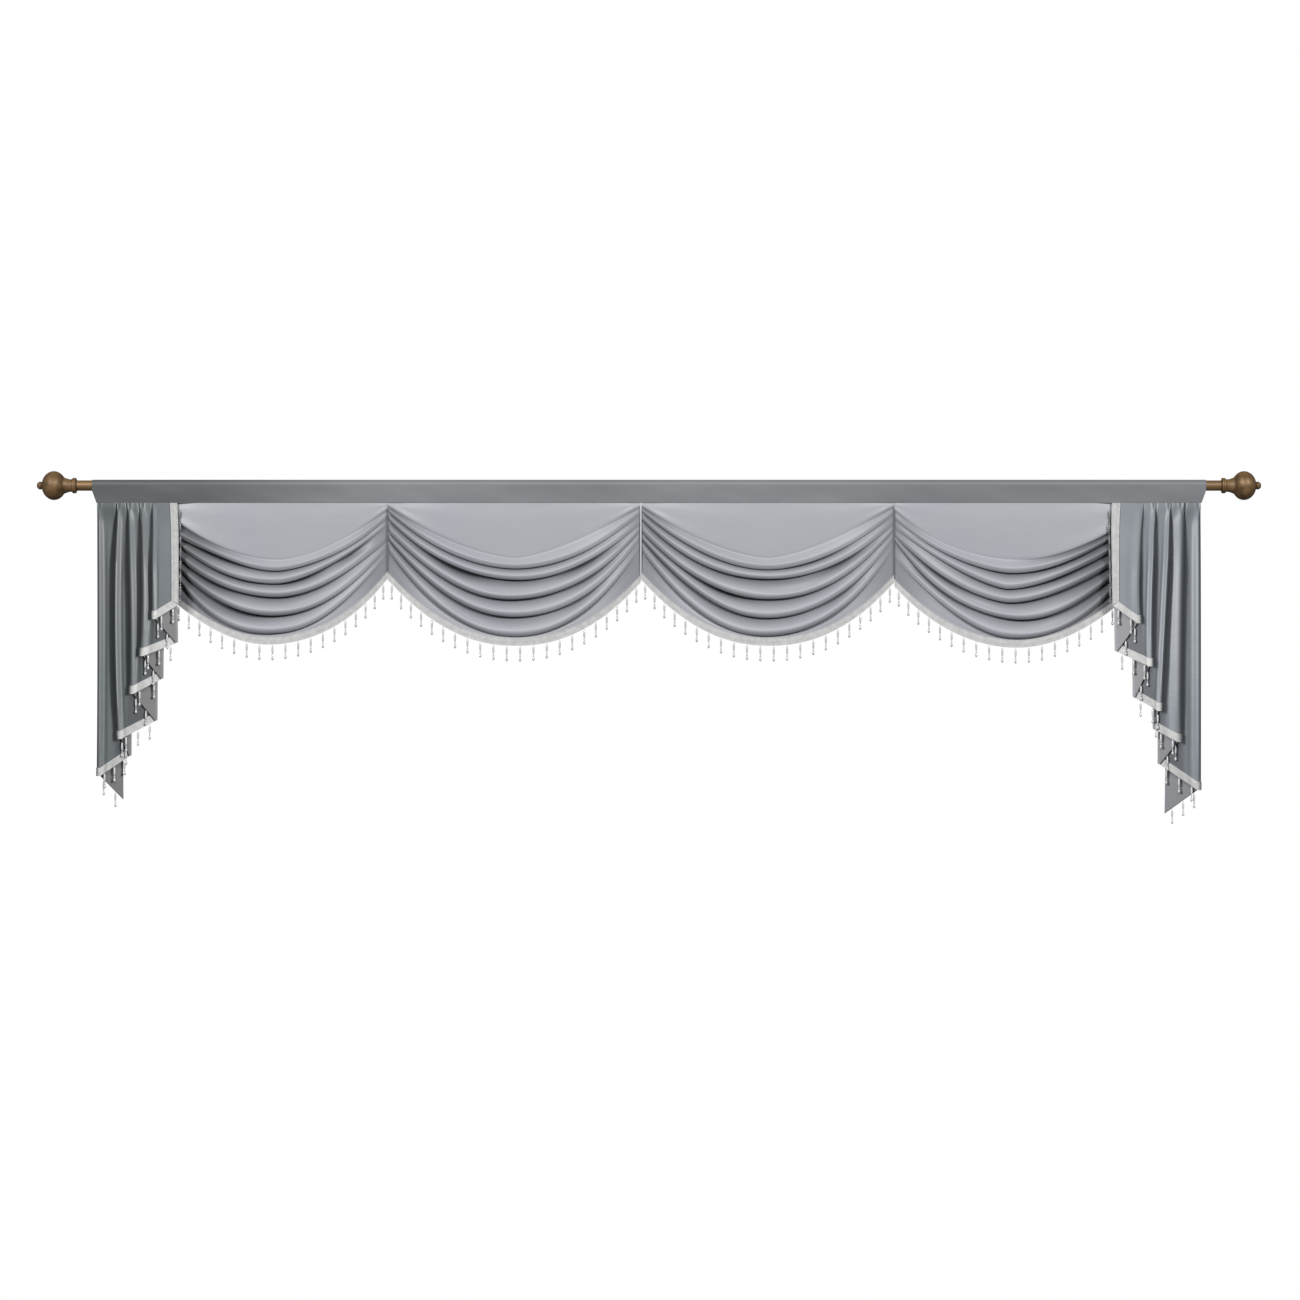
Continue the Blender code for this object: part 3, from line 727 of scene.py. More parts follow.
def roll_knots(table, name, u, last, lip_above, phase, number):
    """The knots of one roll, from the hollow above it to its own tuck, each (drop, out, shade)."""
    lip, out = fold_line(table, name, u)
    ends = np.sin(np.pi * u) ** 0.5
    out = out * (1 + REACH_WAVE[0] * np.sin(REACH_WAVE[1] * u + phase) * ends)
    lip = lip + LIP_WAVE[0] * np.sin(LIP_WAVE[1] * u + 2 * phase) * ends
    hollow = out * HOLLOW_SHARE
    crest = lip - np.minimum(CREST_ABOVE_LIP, CREST_SPACE_SHARE * (lip - lip_above))
    drop, depth, shade = last
    uneven = 1 - CREASE_WAVE[0] + CREASE_WAVE[0] * np.sin(CREASE_WAVE[1] * u + 3 * phase)
    roll = (number, ROLLS.index(name) + 1)
    crease = CREASE * ends * uneven + deeper(PART_CREASES.get(roll, ()), u)
    wider = deeper(PART_HOLLOWS.get(roll, ()), u)
    knots = []
    for share, reach, dip, sink, dim in FACE_KNOTS:
        proud = mix(depth, out, reach) - dip * crease - sink * wider
        knots.append((mix(drop, crest, share), proud, (shade + wider / WIDER_PER_PAINTED_SHADE) * dim))
    knots.append((crest, out, 0 * u))
    deep = tucked(table, name, u)
    for faded, under, lost, dim in CURL_KNOTS:
        knots.append((lip + mix(faded, under, deep), out * (1 - lost * deep), PAINTED_HOLLOW_SHADE * deep * dim))
    tuck = (lip + mix(FADED_STEP, -out * TUCK_SHARE, deep), mix(out, hollow, deep), PAINTED_HOLLOW_SHADE * deep)
    return [*knots, tuck], tuck, lip


def swag_points(table, x_left, x_right, tuck_left, tuck_right, number):
    """The swag's middle surface as points[row, column], and the shade of each point."""
    even = np.linspace(0, 1, SWAG_COLUMNS)
    u = even - END_CROWDING * np.sin(2 * np.pi * even) / (2 * np.pi)
    x = mix(x_left, x_right, u)
    brow_drop, brow_out = fold_line(table, "brow", u)
    belly = brow_out * PANEL_REACH + PANEL_BELLY * arch(u)
    crest = np.maximum(brow_drop - BROW_ROUND, brow_drop * BROW_CREST_SHARE)
    plain = 0 * u
    deep = tucked(table, "brow", u)
    last = (
        brow_drop + mix(FADED_STEP, -brow_out * BROW_TUCK[0], deep),
        brow_out * mix(BROW_TUCK[1], BROW_TUCK[2], deep),
        PAINTED_HOLLOW_SHADE * deep,
    )
    knots = [(plain, plain, plain)]
    knots += [(crest * down, belly * reach, plain) for down, reach in PANEL_KNOTS]
    knots += [(crest, brow_out, plain), (brow_drop, brow_out * mix(*BROW_CURL, deep), plain), last]
    lip_above = brow_drop
    for order, name in enumerate(ROLLS):
        phase = PHASE_BY_SWAG * number + order
        made, last, lip_above = roll_knots(table, name, u, last, lip_above, phase, number)
        knots += made
    hem_drop, hem_out = fold_line(table, "hem", u)
    braid_top = hem_drop - BRAID_WIDTH
    knots.append((mix(last[0], braid_top, SKIRT_KNOT[0]), mix(last[1], hem_out, SKIRT_KNOT[1]), plain))
    knots += [(braid_top, hem_out - HEM_LEAN, plain), (hem_drop, hem_out, plain)]
    path = smooth_through(np.array(knots), SPAN_STEPS)
    edges = ((x - x_left, tuck_left), (x_right - x, tuck_right))
    dusk = dusk_at(edges) * ease((path[:, 0] - crest) / BROW_ROUND)
    shade = 1 - (1 - np.clip(path[:, 2], 0, 1)) * (1 - dusk)
    valley, back = 1.0, 0 * x
    for inwards, outer in edges:
        if outer:
            back = back + TUCK_BACK * (1 - ease(inwards / TUCK_BACK_LENGTH))
        else:
            valley = valley * mix(SEAM_REMAINS, 1, ease(inwards / SEAM_VALLEY))
    y = SWAG_PLANE + back - path[:, 1] * valley
    return np.stack([x + 0 * y, y, -HUNG_TOP - path[:, 0]], axis=2), shade


ends = [SWAG_OUTER_LEFT - SWAG_INSET, *SEAMS, SWAG_OUTER_RIGHT + SWAG_INSET]
swag_tables = (LEFT_SWAG, MIDDLE_SWAG, MIDDLE_SWAG, RIGHT_SWAG)
swags = {}
swag_grids = {}
for number, table in enumerate(swag_tables, 1):
    left, right = ends[number - 1] + SWAG_INSET, ends[number] - SWAG_INSET
    grid, shade = swag_points(table, left, right, number == 1, number == len(swag_tables), number)
    swag_grids[number] = grid
    swags[number] = lay_sheet(f"satin_swag_{number}", grid, CLOTH, swag_satin, shade=shade)
print("swag faces:", [faces_of(swag) for swag in swags.values()])

# %% [markdown]
# ## The seams
#
# Where two swags meet, a narrow welt is sewn over the join. It is a cord covered in the same satin, so
# it starts as a slim cylinder, subdivided along its length and moved to follow the swags' edges. Here
# its satin is a lighter copy, as painted light. The middle one stands out and catches the light. The
# outer two lie sunk in the join, darkened by painted shade.

# %% Three welts
# For each seam: its place, the welt's foot, how far the welt stands out, its radius and its shade
WELTS = (
    (SEAMS[0], 0.243, 0.6 * MM, 0.8 * MM, 0.7),
    (SEAMS[1], 0.252, 6.0 * MM, 2.5 * MM, 0),
    (SEAMS[2], 0.252, 0.6 * MM, 0.8 * MM, 0.7),
)
WELT_SIDES, WELT_RINGS = 16, 40


def sew_welt(number, x, foot, lift, radius, shade):
    """A covered cord down a seam, standing out most where the rolls are deepest."""
    length = foot - HUNG_TOP
    middle = (x, SWAG_PLANE, -(foot + HUNG_TOP) / 2)
    welt = add_bar(f"seam_cord_{number}", WELT_SIDES, radius, length, middle)
    height = {vertex.index: vertex.co.z for vertex in welt.data.vertices}
    mark(welt, "EDGE", lambda edge: abs(height[edge.vertices[0]] - height[edge.vertices[1]]) > radius)
    bpy.ops.mesh.subdivide(number_cuts=WELT_RINGS)
    bpy.ops.object.mode_set(mode="OBJECT")
    for vertex in welt.data.vertices:
        share = (-vertex.co.z - HUNG_TOP) / length
        vertex.co.y -= lift * math.sin(math.pi * min(1, max(0, share))) ** 0.5
    smooth_below(50)
    write_marks(welt.data, "hollow", [shade] * len(welt.data.vertices))
    welt.data.materials.append(lit_cord_satin)
    return welt


welts = {number: sew_welt(number, *row) for number, row in enumerate(WELTS, 1)}
print("welts:", len(welts))

# %% [markdown]
# ## The cascades
#
# A cascade is one long panel cut on a slant and pleated back and forth, so its hem steps down from
# fold to fold and shows its braid each time it comes to the front. The table lists the fold lines,
# counted from the inner edge, which is in front. Between two fold lines lies one layer. At each fold
# the cloth turns in a small round loop, and beside it the layer swells forward into a soft tube,
# which is what catches the light as a pale line down each pleat.

# %% Fold lines of the two cascades
# Millimetres from the middle of the rod at the heading, half way down and at the hem, then the hem's drop
LEFT_CASCADE = (
    (-1272, -1264, -1263, 320), (-1340, -1335, -1334, 359), (-1274, -1269, -1266, 423),
    (-1375, -1364, -1369, 458), (-1312, -1307, -1307, 520), (-1408, -1398, -1398, 560),
    (-1329, -1325, -1325, 633), (-1435, -1442, -1433, 682), (-1397, -1396, -1397, 728),
    (-1490, -1489, -1491, 782), (-1428, -1422, -1420, 846),
)
RIGHT_CASCADE = (
    (1248, 1243, 1244, 322), (1335, 1319, 1320, 370), (1252, 1250, 1252, 446),
    (1368, 1356, 1354, 486), (1307, 1302, 1302, 570), (1408, 1394, 1380, 606),
    (1359, 1358, 1358, 656), (1446, 1438, 1435, 690), (1376, 1374, 1373, 750),
    (1489, 1490, 1490, 820), (1402, 1398, 1393, 884),
)
# How far each front layer's tube stands out and how wide it is, in millimetres, front layer first
LEFT_TUBES = ((4, 12), (7, 22), (7, 19), (8, 16), (8, 18))
RIGHT_TUBES = ((1.5, 24), (7, 14), (7, 14), (8, 34), (8, 24))
# The tube leans to its fold, opens below the heading and halves near the hem, with a dip beside it
TUBE_LEAN, TUBE_OPEN, TUBE_AT_HEM, TUBE_FADES = 0.6, 0.03, 0.5, 0.12
HOLLOW_SHARE_OF_TUBE, DIP_START, DIP_WIDTH = 0.4, 0.55, 1.1
LAYER_GAP_TOP, LAYER_GAP_HEM, LAYER_GAP_OPEN = 2.2 * MM, 7 * MM, 0.2
BACK_LAYER_TOP, BACK_LAYER_HEM = 4.8 * MM, 6 * MM
OUTER_TURN, INNER_TURN, TOP_TURN = 8 * MM, 5 * MM, 1.5 * MM
EDGE_BRAID_WIDTH = 21 * MM


def fold_x(fold, drop):
    share = (drop - HUNG_TOP) / (fold[-1] * MM - HUNG_TOP)
    return spread(fold[:3], share, arch(share)) * MM


def opened(drop):
    return ease((drop - HUNG_TOP) / LAYER_GAP_OPEN)


def layer_y(folds, layer, drop):
    """Where a layer hangs, counted from the front one at 0."""
    layers = len(folds) - 1
    share = (drop - HUNG_TOP) / (folds[-1][-1] * MM - HUNG_TOP)
    gap = mix(LAYER_GAP_TOP, LAYER_GAP_HEM, opened(drop))
    return mix(BACK_LAYER_TOP, BACK_LAYER_HEM, share) - (layers - 1 - layer) * gap


def turn_length(fold, drop):
    """How far a fold's loop reaches along its layers: odd folds are the outer ones."""
    full = OUTER_TURN if fold % 2 else INNER_TURN
    return mix(TOP_TURN, full, opened(drop))


def tube(folds, tubes, layer, x, drop):
    """How far a front layer swells forward at x, beside its outer fold."""
    if layer % 2:
        return 0 * x
    out, width = tubes[layer // 2]
    away = np.abs(x - fold_x(folds[layer + 1], drop)) / (width * MM)
    hem = folds[layer + 1][-1] * MM
    near_hem = ease((drop - hem + TUBE_FADES) / TUBE_FADES)
    strength = ease((drop - HUNG_TOP) / TUBE_OPEN) * mix(1, TUBE_AT_HEM, near_hem)
    ridge = out * MM * np.sin(np.pi * np.clip(away, 0, 1) ** TUBE_LEAN) ** 2
    beside = np.sin(np.pi * np.clip((away - DIP_START) / DIP_WIDTH, 0, 1)) ** 2
    hollow = HOLLOW_SHARE_OF_TUBE * out * MM * beside * opened(drop)
    return strength * (ridge - hollow)


def layer_point(folds, tubes, layer, share, drop):
    """A point of a layer's middle surface, share of the way from its first loop to its second."""
    here, beyond = fold_x(folds[layer], drop), fold_x(folds[layer + 1], drop)
    away = np.sign(beyond - here)
    start = here + away * (turn_length(layer, drop) if layer else 0)
    end = beyond - away * (turn_length(layer + 1, drop) if layer + 2 < len(folds) else 0)
    x = mix(start, end, share)
    y = layer_y(folds, layer, drop) - tube(folds, tubes, layer, x, drop)
    return x, y


def loop_point(folds, tubes, fold, angle, drop):
    """A point of the loop at a fold, from the layer before at 0 to the layer after at pi."""
    here = fold_x(folds[fold], drop)
    away = np.sign(fold_x(folds[fold - 1], drop) - here)
    x = here + away * turn_length(fold, drop) * (1 - math.sin(angle))
    before, after = layer_y(folds, fold - 1, drop), layer_y(folds, fold, drop)
    y = (before + after) / 2 + (before - after) / 2 * math.cos(angle)
    layer = fold - 1 if angle < math.pi / 2 else fold
    if fold % 2 and layer == fold - 1:
        y = y - tube(folds, tubes, layer, x, drop)
    return x, y


print("layers in a cascade:", len(LEFT_CASCADE) - 1)

# %% [markdown]
# The sheet itself is a grid with a column for each step along the layers and round the loops, and rows
# from the heading to the slanted hem. Just under the heading each pleat is drawn forward to the seam
# and its ridge opens in a small V, as it does wherever a pleat is caught in a seam. The sheet is given
# a darker shade where a layer runs in behind the one before it.

# %% Laying the cascades
CASCADE_ROWS = 110
FRONT_STEPS, RETURN_STEPS, LOOP_STEPS = 34, 10, 8
CROWDING = 1.5
GATHER_FRONT, GATHER_LENGTH, BAND_OVERLAP = -13.8 * MM, 34 * MM, 4 * MM
RIDGE_SHARE = 0.32
V_SPREAD, V_WIDTH, V_HEIGHT, V_FADES = 7 * MM, 2.6 * MM, 2.4 * MM, 1.3
VALLEY_SHADE, VALLEY_REACH, VALLEY_OPENS = 0.5, 11 * MM, 0.06


def cascade_columns(folds):
    """Each column as (kind, layer or fold number, share or angle)."""
    columns = []
    for layer in range(len(folds) - 1):
        if layer:
            columns += [("loop", layer, math.pi * step / LOOP_STEPS) for step in range(LOOP_STEPS)]
        last = layer + 2 == len(folds)
        steps = RETURN_STEPS if layer % 2 else FRONT_STEPS
        for step in range(steps + last):
            share = step / steps
            columns.append(("layer", layer, share if layer % 2 else 1 - (1 - share) ** CROWDING))
    return columns


def column_point(folds, tubes, column, drop):
    kind, number, place = column
    if kind == "loop":
        return loop_point(folds, tubes, number, place, drop)
    return layer_point(folds, tubes, number, place, drop)


def hem_drop_at(folds, column):
    """The drop of the slanted hem at a column."""
    kind, number, place = column
    if kind == "loop":
        return folds[number][-1] * MM
    return mix(folds[number][-1], folds[number + 1][-1], place) * MM


def gathered(folds, tubes, layer, x, y, drop):
    """A front layer drawn forward to the heading's foot, its ridge opening upwards in a small V."""
    fallen = (drop - HUNG_TOP) / GATHER_LENGTH
    outer, inner = fold_x(folds[layer + 1], drop), fold_x(folds[layer], drop)
    inwards = np.sign(inner - outer)
    ridge = outer + inwards * RIDGE_SHARE * tubes[layer // 2][1] * MM
    spread = V_SPREAD * np.clip(1 - fallen, 0, 1)
    arms = sum(np.exp(-(((x - ridge - arm * spread) / V_WIDTH) ** 2)) for arm in (1, -1))
    band = abs(outer - fold_x(folds[layer - 1], drop))
    shown = ease((band + BAND_OVERLAP - (x - outer) * inwards) / (2 * BAND_OVERLAP))
    drawn = np.exp(-(fallen**2)) * shown
    fading = np.exp(-((fallen * V_FADES) ** 2)) * shown
    return y + drawn * (GATHER_FRONT - y) - V_HEIGHT * arms * fading


def valley_shade(folds, layer, x, drop):
    """Shade on a front layer where it runs in behind the layer before it."""
    edge = fold_x(folds[layer - 1], drop)
    outwards = np.sign(fold_x(folds[layer + 1], drop) - edge)
    beyond = np.clip((x - edge) * outwards / VALLEY_REACH, 0, None)
    return VALLEY_SHADE * np.exp(-(beyond**2)) * ease((drop - HUNG_TOP) / VALLEY_OPENS)


def cascade_points(folds, tubes):
    """The sheet's points[row, column] and the shade of each."""
    rows = np.linspace(0, 1, CASCADE_ROWS)
    grid, shades = [], []
    for column in cascade_columns(folds):
        drop = mix(HUNG_TOP, hem_drop_at(folds, column), rows)
        x, y = column_point(folds, tubes, column, drop)
        kind, number, place = column
        shade = 0 * drop
        if kind == "layer" and number % 2 == 0 and number:
            y = gathered(folds, tubes, number, x, y, drop)
            shade = valley_shade(folds, number, x, drop)
        grid.append(np.stack([x, y, -drop], axis=1))
        shades.append(shade)
    return np.array(grid).transpose(1, 0, 2), np.array(shades).T


cascades = {}
sides = (("left", LEFT_CASCADE, LEFT_TUBES), ("right", RIGHT_CASCADE, RIGHT_TUBES))
satins = {"left": (left_satin, left_reverse), "right": (right_satin, right_reverse)}
for side, folds, tubes in sides:
    face, reverse = satins[side]
    grid, shade = cascade_points(folds, tubes)
    if side == "left":
        grid, shade = grid[:, ::-1], shade[:, ::-1]
    cascades[side] = lay_sheet(f"satin_cascade_{side}", grid, CLOTH, face, True, reverse, shade)
print("cascade faces:", [faces_of(cascade) for cascade in cascades.values()])

# %% [markdown]
# ## The braid
#
# The braid is a woven ribbon two centimetres wide with a corded edge on each side and a rib down the
# middle. It is sewn on the face of the cloth, so it follows the hem and lies just in front of it. At
# the foot of a cascade's inner edge the ribbon is mitred and turns along the slanted hem. The cords
# are in the mesh, and the fine plaiting is bump that follows the ribbon's own UV map.

# %% A pale ribbon
BRAID = 1.2 * MM
BRAID_LIFT = CLOTH / 2 + 0.3 * MM + BRAID / 2
BRAID_STEPS = 12
RIB = 0.35 * MM
PLAIT_PITCH = 3.2 * MM
# A wave of scale 1 repeats ten times in two pi metres
PLAIT_SCALE = 2 * math.pi / (10 * PLAIT_PITCH)
braid_yarn = make_material(
    "braid_yarn", (70,), ((0.45, 0.45, 0.445), (0.56, 0.56, 0.55)),
    [("UV", PLAIT_SCALE, EVEN, "plait", 0.5 * MM, 0.6), ("UV", 1500, EVEN, 2, 0.2 * MM, 0.4)],
    Roughness=0.75, Sheen_Weight=0.35,
)


def lift_ribbon(points, facing):
    """Moves a ribbon's grid off the cloth, with a cord on each edge and a rib between them."""
    across = np.linspace(0, 1, points.shape[0])[:, None, None]
    ribs = RIB * np.abs(np.cos(2 * np.pi * across)) ** 3
    return points + sheet_normals(points) * (BRAID_LIFT + ribs) * facing


def resample(rows, count):
    """Rows of a grid through a few given rows, count of them."""
    places = np.linspace(0, len(rows) - 1, count)
    above = np.minimum(places.astype(int), len(rows) - 2)
    return mix(rows[above], rows[above + 1], (places - above)[:, None, None])


swag_braids = {}
swag_ribbons = {}
for number, grid in swag_grids.items():
    swag_ribbons[number] = lift_ribbon(resample(grid[-SPAN_STEPS - 1:], BRAID_STEPS), 1)
    swag_braids[number] = lay_sheet(f"swag_braid_{number}", swag_ribbons[number], BRAID, braid_yarn)
print("swag braid faces:", faces_of(swag_braids[1]))

# %% [markdown]
# On a cascade the ribbon is two strips that meet at the mitre: one down the inner edge and one along
# the hem, through every loop. The edge strip leans back from the light and looks a little greyer, so it
# is given a slight shade.

# %% The cascades' ribbons
EDGE_ROWS = 160
BRAID_BELOW = 2.2 * MM
MITRE_COLUMNS = 26
EDGE_BRAID_SHADE = 0.16


def mitre_at(folds, share):
    """How far over the front layer the mitre lies, at a share of the way across the braid."""
    return share * EDGE_BRAID_WIDTH / (abs(folds[1][2] - folds[0][2]) * MM)


def edge_strip(folds, tubes):
    """The strip down the inner edge, its foot cut on the mitre, as points[across, along]."""
    strip = []
    for share in np.linspace(0, 1, BRAID_STEPS):
        place = mitre_at(folds, share)
        foot = hem_drop_at(folds, ("layer", 0, place)) - BRAID_WIDTH * share
        drop = np.linspace(HUNG_TOP, foot, EDGE_ROWS)
        x, y = layer_point(folds, tubes, 0, place, drop)
        strip.append(np.stack([x, y, -drop], axis=1))
    return np.array(strip)


def hem_strip(folds, tubes):
    """The strip along the slanted hem through every loop, from the mitre on, as points[across, along]."""
    columns = cascade_columns(folds)[FRONT_STEPS:]
    strip = []
    for share in np.linspace(1, 0, BRAID_STEPS):
        starts = np.linspace(mitre_at(folds, share), 1, MITRE_COLUMNS, endpoint=False)
        line = []
        for column in [("layer", 0, start) for start in starts] + columns:
            drop = hem_drop_at(folds, column) - BRAID_WIDTH * share + BRAID_BELOW * (1 - share)
            x, y = column_point(folds, tubes, column, drop)
            line.append((x, y, -drop))
        strip.append(line)
    return np.array(strip)


cascade_braids = {}
cascade_ribbons = {}
for side, folds, tubes in sides:
    # The left cascade's columns run the other way
    face = -1 if side == "left" else 1
    edge_ribbon = lift_ribbon(edge_strip(folds, tubes), -face)
    hem_ribbon = lift_ribbon(hem_strip(folds, tubes), face)
    cascade_ribbons[side] = (edge_ribbon, hem_ribbon)
    dim = np.full(edge_ribbon.shape[:2], EDGE_BRAID_SHADE)
    edge_piece = lay_sheet(f"cascade_braid_{side}", edge_ribbon, BRAID, braid_yarn, shade=dim)
    hem_piece = lay_sheet("hem_strip", hem_ribbon, BRAID, braid_yarn)
    only(edge_piece)
    hem_piece.select_set(True)
    bpy.ops.object.join()
    cascade_braids[side] = edge_piece
print("cascade braid faces:", [faces_of(braid) for braid in cascade_braids.values()])

# %% [markdown]
# ## The beaded drops
#
# Each drop is a thread with three clear beads: a long one, a small round one and a teardrop. Glass beads
# against a window look grey at the rim and light in the middle. One drop is modelled, every bead as a
# sphere stretched to its form, and then repeated along the braid. The copies of one braid are joined in
# one mesh, because 142 separate objects would only slow the file down.

# %% One drop
DROP_SIDES, BEAD_RINGS, THREAD_SIDES = 9, 7, 5
# Distance below the braid, half length and radius of each bead in millimetres
BEADS = ((14.5, 12.2, 2.9), (29.6, 2.7, 2.3), (37.7, 5.3, 3.4))
THREAD_RADIUS = 0.45 * MM
THREAD_ABOVE, THREAD_BELOW = 2.5 * MM, 41 * MM
# How much slimmer the teardrop's top is, and how far out a point must lie to be its glass
TEARDROP_TAPER = 0.2
GLASS_FROM = 1.2 * THREAD_RADIUS
bead_glass = make_material(
    "bead_glass", (120,), ((0.6, 0.61, 0.62), (0.72, 0.72, 0.72)),
    [("Object", 500, EVEN, 2, 0.3 * MM, 0.3)],
    Roughness=0.3, Transmission_Weight=0.08, IOR=1.45, Coat_Weight=0.3,
)


def shape_drop():
    """The modelled drop, its braid edge at the origin and its beads hanging along -Z."""
    length = THREAD_ABOVE + THREAD_BELOW
    parts = [add_bar("thread", THREAD_SIDES, THREAD_RADIUS, length, (0, 0, THREAD_ABOVE - length / 2))]
    for below, half_length, radius in BEADS:
        bpy.ops.mesh.primitive_uv_sphere_add(
            segments=DROP_SIDES, ring_count=BEAD_RINGS, radius=radius * MM, location=(0, 0, -below * MM),
            scale=(1, 1, half_length / radius),
        )
        parts.append(bpy.context.object)
    for part in parts:
        part.select_set(True)
    bpy.ops.object.transform_apply()
    bpy.ops.object.join()
    drop = bpy.context.object
    below, half_length, _ = BEADS[-1]
    for vertex in drop.data.vertices:
        up = (vertex.co.z + below * MM) / (half_length * MM)
        if abs(up) <= 1.01 and math.hypot(vertex.co.x, vertex.co.y) > GLASS_FROM:
            vertex.co.xy *= 1 - TEARDROP_TAPER * max(0, up)
    return drop


drop = shape_drop()
print("faces in one drop:", faces_of(drop))

# %% [markdown]
# The drops hang straight down, about 36 mm apart, and on a swag the first and last stand half a space
# in from the braid's ends. On the cascades they hang from each layer's hem and, a few millimetres
# out, beside the inner edge. Clear beads take on the dark of the folds behind them, so those beside
# the edge have a shade of their own.

# %% Hanging the drops
DROP_PITCH = 36 * MM
DROP_TURN = 0.7
FIRST_IN, FIRST_IN_BEHIND = 0.5, 0.3
EDGE_DROP_OUT = 5.5 * MM
EDGE_DROP_SHADE = 0.72


def length_of(line):
    return np.linalg.norm(np.diff(line, axis=0), axis=1).sum()


def spots_along(line, pitch, first=FIRST_IN):
    """Points at an even pitch along a line of points, the first one a share of a pitch in."""
    steps = np.linalg.norm(np.diff(line, axis=0), axis=1)
    reached = np.append(0, np.cumsum(steps))
    wanted = np.arange(pitch * first, reached[-1], pitch)
    return np.stack([np.interp(wanted, reached, line[:, axis]) for axis in range(3)], axis=1)


def hang_drops(name, spots, shades):
    """One mesh with a copy of the drop at each spot, each with its shade and a little turned."""
    corners = np.array([vertex.co[:] for vertex in drop.data.vertices])
    polygons = [list(polygon.vertices) for polygon in drop.data.polygons]
    turned = np.arange(len(spots)) * DROP_TURN
    cos, sin = np.cos(turned)[:, None], np.sin(turned)[:, None]
    x = corners[:, 0] * cos - corners[:, 1] * sin
    y = corners[:, 0] * sin + corners[:, 1] * cos
    z = np.broadcast_to(corners[:, 2], x.shape)
    placed = np.stack([x, y, z], axis=2) + spots[:, None, :]
    starts = range(0, len(spots) * len(corners), len(corners))
    faces = [[index + start for index in polygon] for start in starts for polygon in polygons]
    mesh = bpy.data.meshes.new(name)
    mesh.from_pydata(placed.reshape(-1, 3).tolist(), [], faces)
    mesh.materials.append(bead_glass)
    write_marks(mesh, "hollow", np.repeat(shades, len(corners)))
    made = add_object(name, mesh)
    only(made)
    bpy.ops.object.shade_smooth()
    return made


def swag_spots(ribbon):
    edge = ribbon[-1]
    length = length_of(edge)
    spots = spots_along(edge, length / round(length / DROP_PITCH))
    return spots, [0] * len(spots)


def cascade_spots(folds, ribbons):
    """Spots on each layer's hem, then beside the inner edge, and a shade for each."""
    edge, hem = ribbons
    columns = [("layer", 0, 0)] * MITRE_COLUMNS + cascade_columns(folds)[FRONT_STEPS:]
    numbers = np.array([number if kind == "layer" else -1 for kind, number, _ in columns])
    spots = []
    for layer in range(len(folds) - 1):
        part = hem[-1][numbers == layer]
        if layer == 0:
            part = np.concatenate([edge[0][-1:], part])
        length = length_of(part)
        count = max(2, round(length / DROP_PITCH))
        spots.append(spots_along(part, length / count, FIRST_IN_BEHIND if layer % 2 else FIRST_IN))
    beside = spots_along(edge[0], DROP_PITCH)[:-1]
    beside[:, 0] += np.sign(folds[0][2] - folds[1][2]) * EDGE_DROP_OUT
    shades = [0] * sum(len(part) for part in spots) + [EDGE_DROP_SHADE] * len(beside)
    return np.concatenate([*spots, beside]), shades


swag_drops = {
    number: hang_drops(f"swag_drops_{number}", *swag_spots(ribbon))
    for number, ribbon in swag_ribbons.items()
}
cascade_drops = {
    side: hang_drops(f"cascade_drops_{side}", *cascade_spots(folds, cascade_ribbons[side]))
    for side, folds, _ in sides
}
bpy.data.objects.remove(drop)
print("drops on the swags:", [faces_of(made) for made in swag_drops.values()])

# %% [markdown]
# ## What each piece stands for
#
# Every fine piece takes the place of its solid.

# %% Pieces and solids


def dress(piece, node):
    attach(piece, "root")
    if node:
        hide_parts(node)


dress(rod, "rod")
for node, finial in finials.items():
    dress(finial, node)
dress(heading, "heading")
for number, swag in swags.items():
    dress(swag, f"swag_{number}")
    dress(swag_braids[number], f"swag_trim_{number}")
    dress(swag_drops[number], None)
for number, welt in welts.items():
    dress(welt, f"seam_welt_{number}")
for side, cascade in cascades.items():
    dress(cascade, f"cascade_{side}")
    dress(cascade_braids[side], f"cascade_trim_{side}")
    dress(cascade_drops[side], None)


# %% [markdown]
# ## Light
#
# The photograph is a studio cut-out: white behind, with even light and soft shadows. Two broad key
# lamps, one from each side and a little above, give each roll its bright crest and leave the hollows
# dark, and painted shade deepens them. The cascades' satin is painted darker, as painted shade, and
# their folds run down, so two lamps of their own light them, one close and in the middle, so that it
# rakes across the folds. Light linking keeps each lamp to its pieces, and the world behind is pure
# white only to the camera.

# %% Lamps, a white background and a floor far below
FLOOR_DROP, FLOOR_RADIUS = 2.7, 2.5


def hang_light(name, kind, place, aim, power, **settings):
    """A light of a kind at a place, facing a point."""
    data = bpy.data.lights.new(name, kind)
    data.energy = power
    for setting, value in settings.items():
        setattr(data, setting, value)
    lamp = add_object(name, data)
    lamp.location = place
    x, y, z = (start - goal for goal, start in zip(aim, place))
    lamp.rotation_euler = (math.atan2(math.hypot(x, y), z), 0, math.atan2(x, -y))
    return lamp


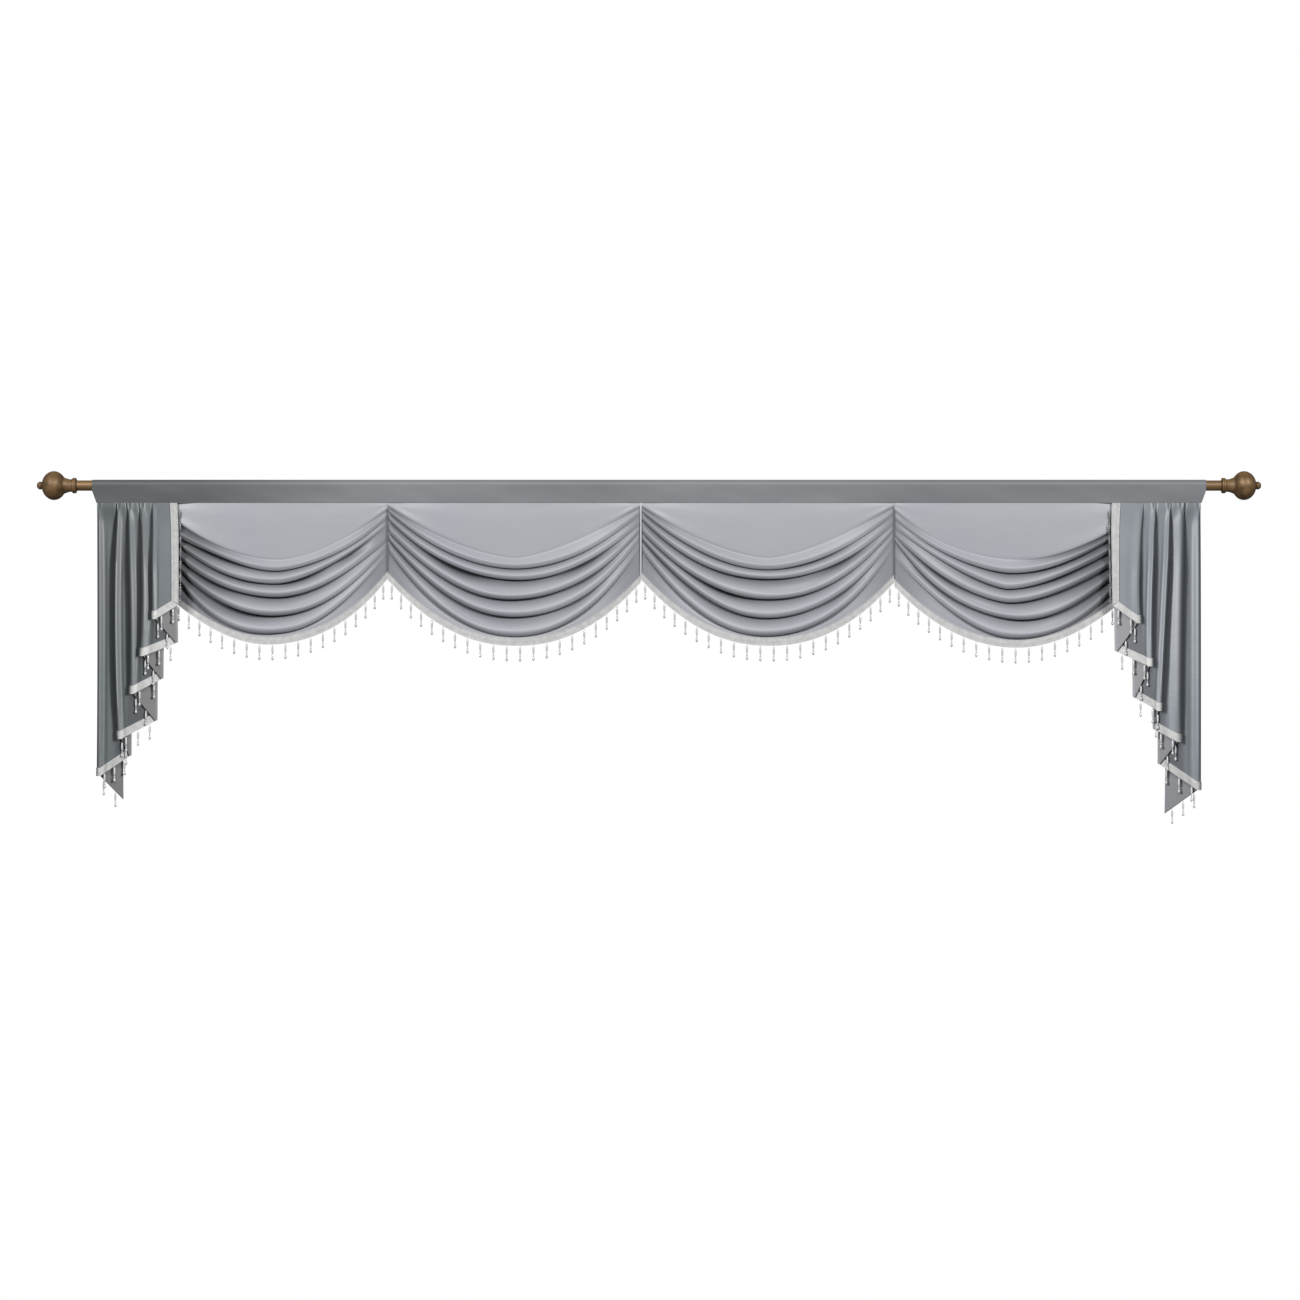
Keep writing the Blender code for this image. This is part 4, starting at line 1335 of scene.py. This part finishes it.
def light_world(seen, given):
    """White to the camera, and a dimmer, even light on the piece."""
    world = bpy.data.worlds.new("studio")
    bpy.context.scene.world = world
    world.use_nodes = True
    tree = world.node_tree
    tree.nodes.clear()
    path = add_node(tree, "ShaderNodeLightPath")
    chosen = add_node(tree, "ShaderNodeMixShader", Fac=path.outputs["Is Camera Ray"])
    for socket, colour, strength in ((1, (0.95, 0.97, 1, 1), given), (2, (1, 1, 1, 1), seen)):
        light = add_node(tree, "ShaderNodeBackground", Color=colour, Strength=strength)
        tree.links.new(light.outputs["Background"], chosen.inputs[socket])
    add_node(tree, "ShaderNodeOutputWorld", Surface=chosen.outputs["Shader"])


def light_only(lamp, pieces):
    """Keeps a lamp's light to these pieces, as flags and barn doors would."""
    group = bpy.data.collections.new(lamp.name + "_falls_on")
    for piece in pieces:
        group.objects.link(piece)
    lamp.light_linking.receiver_collection = group


hanging = [*cascades.values(), *cascade_braids.values()]
others = [rod, heading, *finials.values(), *swags.values(), *welts.values(), *swag_braids.values()]
others += [*swag_drops.values(), *cascade_drops.values()]
# Name, pieces it falls on, place, strength and how many degrees wide its light comes in
FAR_LAMPS = (
    ("left_key", others, (-1.47, -2.28, 1.29), 2.15, 14),
    ("right_key", others, (1.47, -2.28, 1.29), 1.9, 14),
    ("cascade_front", hanging, (0, -2.1, 2.1), 0.95, 30),
)
light_world(seen=1.0, given=0.13)
for name, pieces, place, strength, degrees in FAR_LAMPS:
    light_only(hang_light(name, "SUN", place, (0, 0, 0), strength, angle=math.radians(degrees)), pieces)
raking = hang_light(
    "raking", "AREA", place=(0, -1.5, -0.1), aim=(0, 0, -0.45), power=64,
    shape="RECTANGLE", size=0.4, size_y=0.6,
)
light_only(raking, hanging)
bpy.context.scene.view_settings.view_transform = "Standard"


def lay_floor():
    nothing_selected()
    bpy.ops.mesh.primitive_circle_add(
        vertices=64, radius=FLOOR_RADIUS, fill_type="NGON", location=(0, 0, -FLOOR_DROP)
    )
    floor = bpy.context.object
    floor.name = "floor"
    greys = ((0.75, 0.75, 0.75), (0.8, 0.8, 0.8))
    floor.data.materials.append(make_material("pale_floor", (2,), greys, (), Roughness=0.9))


lay_floor()
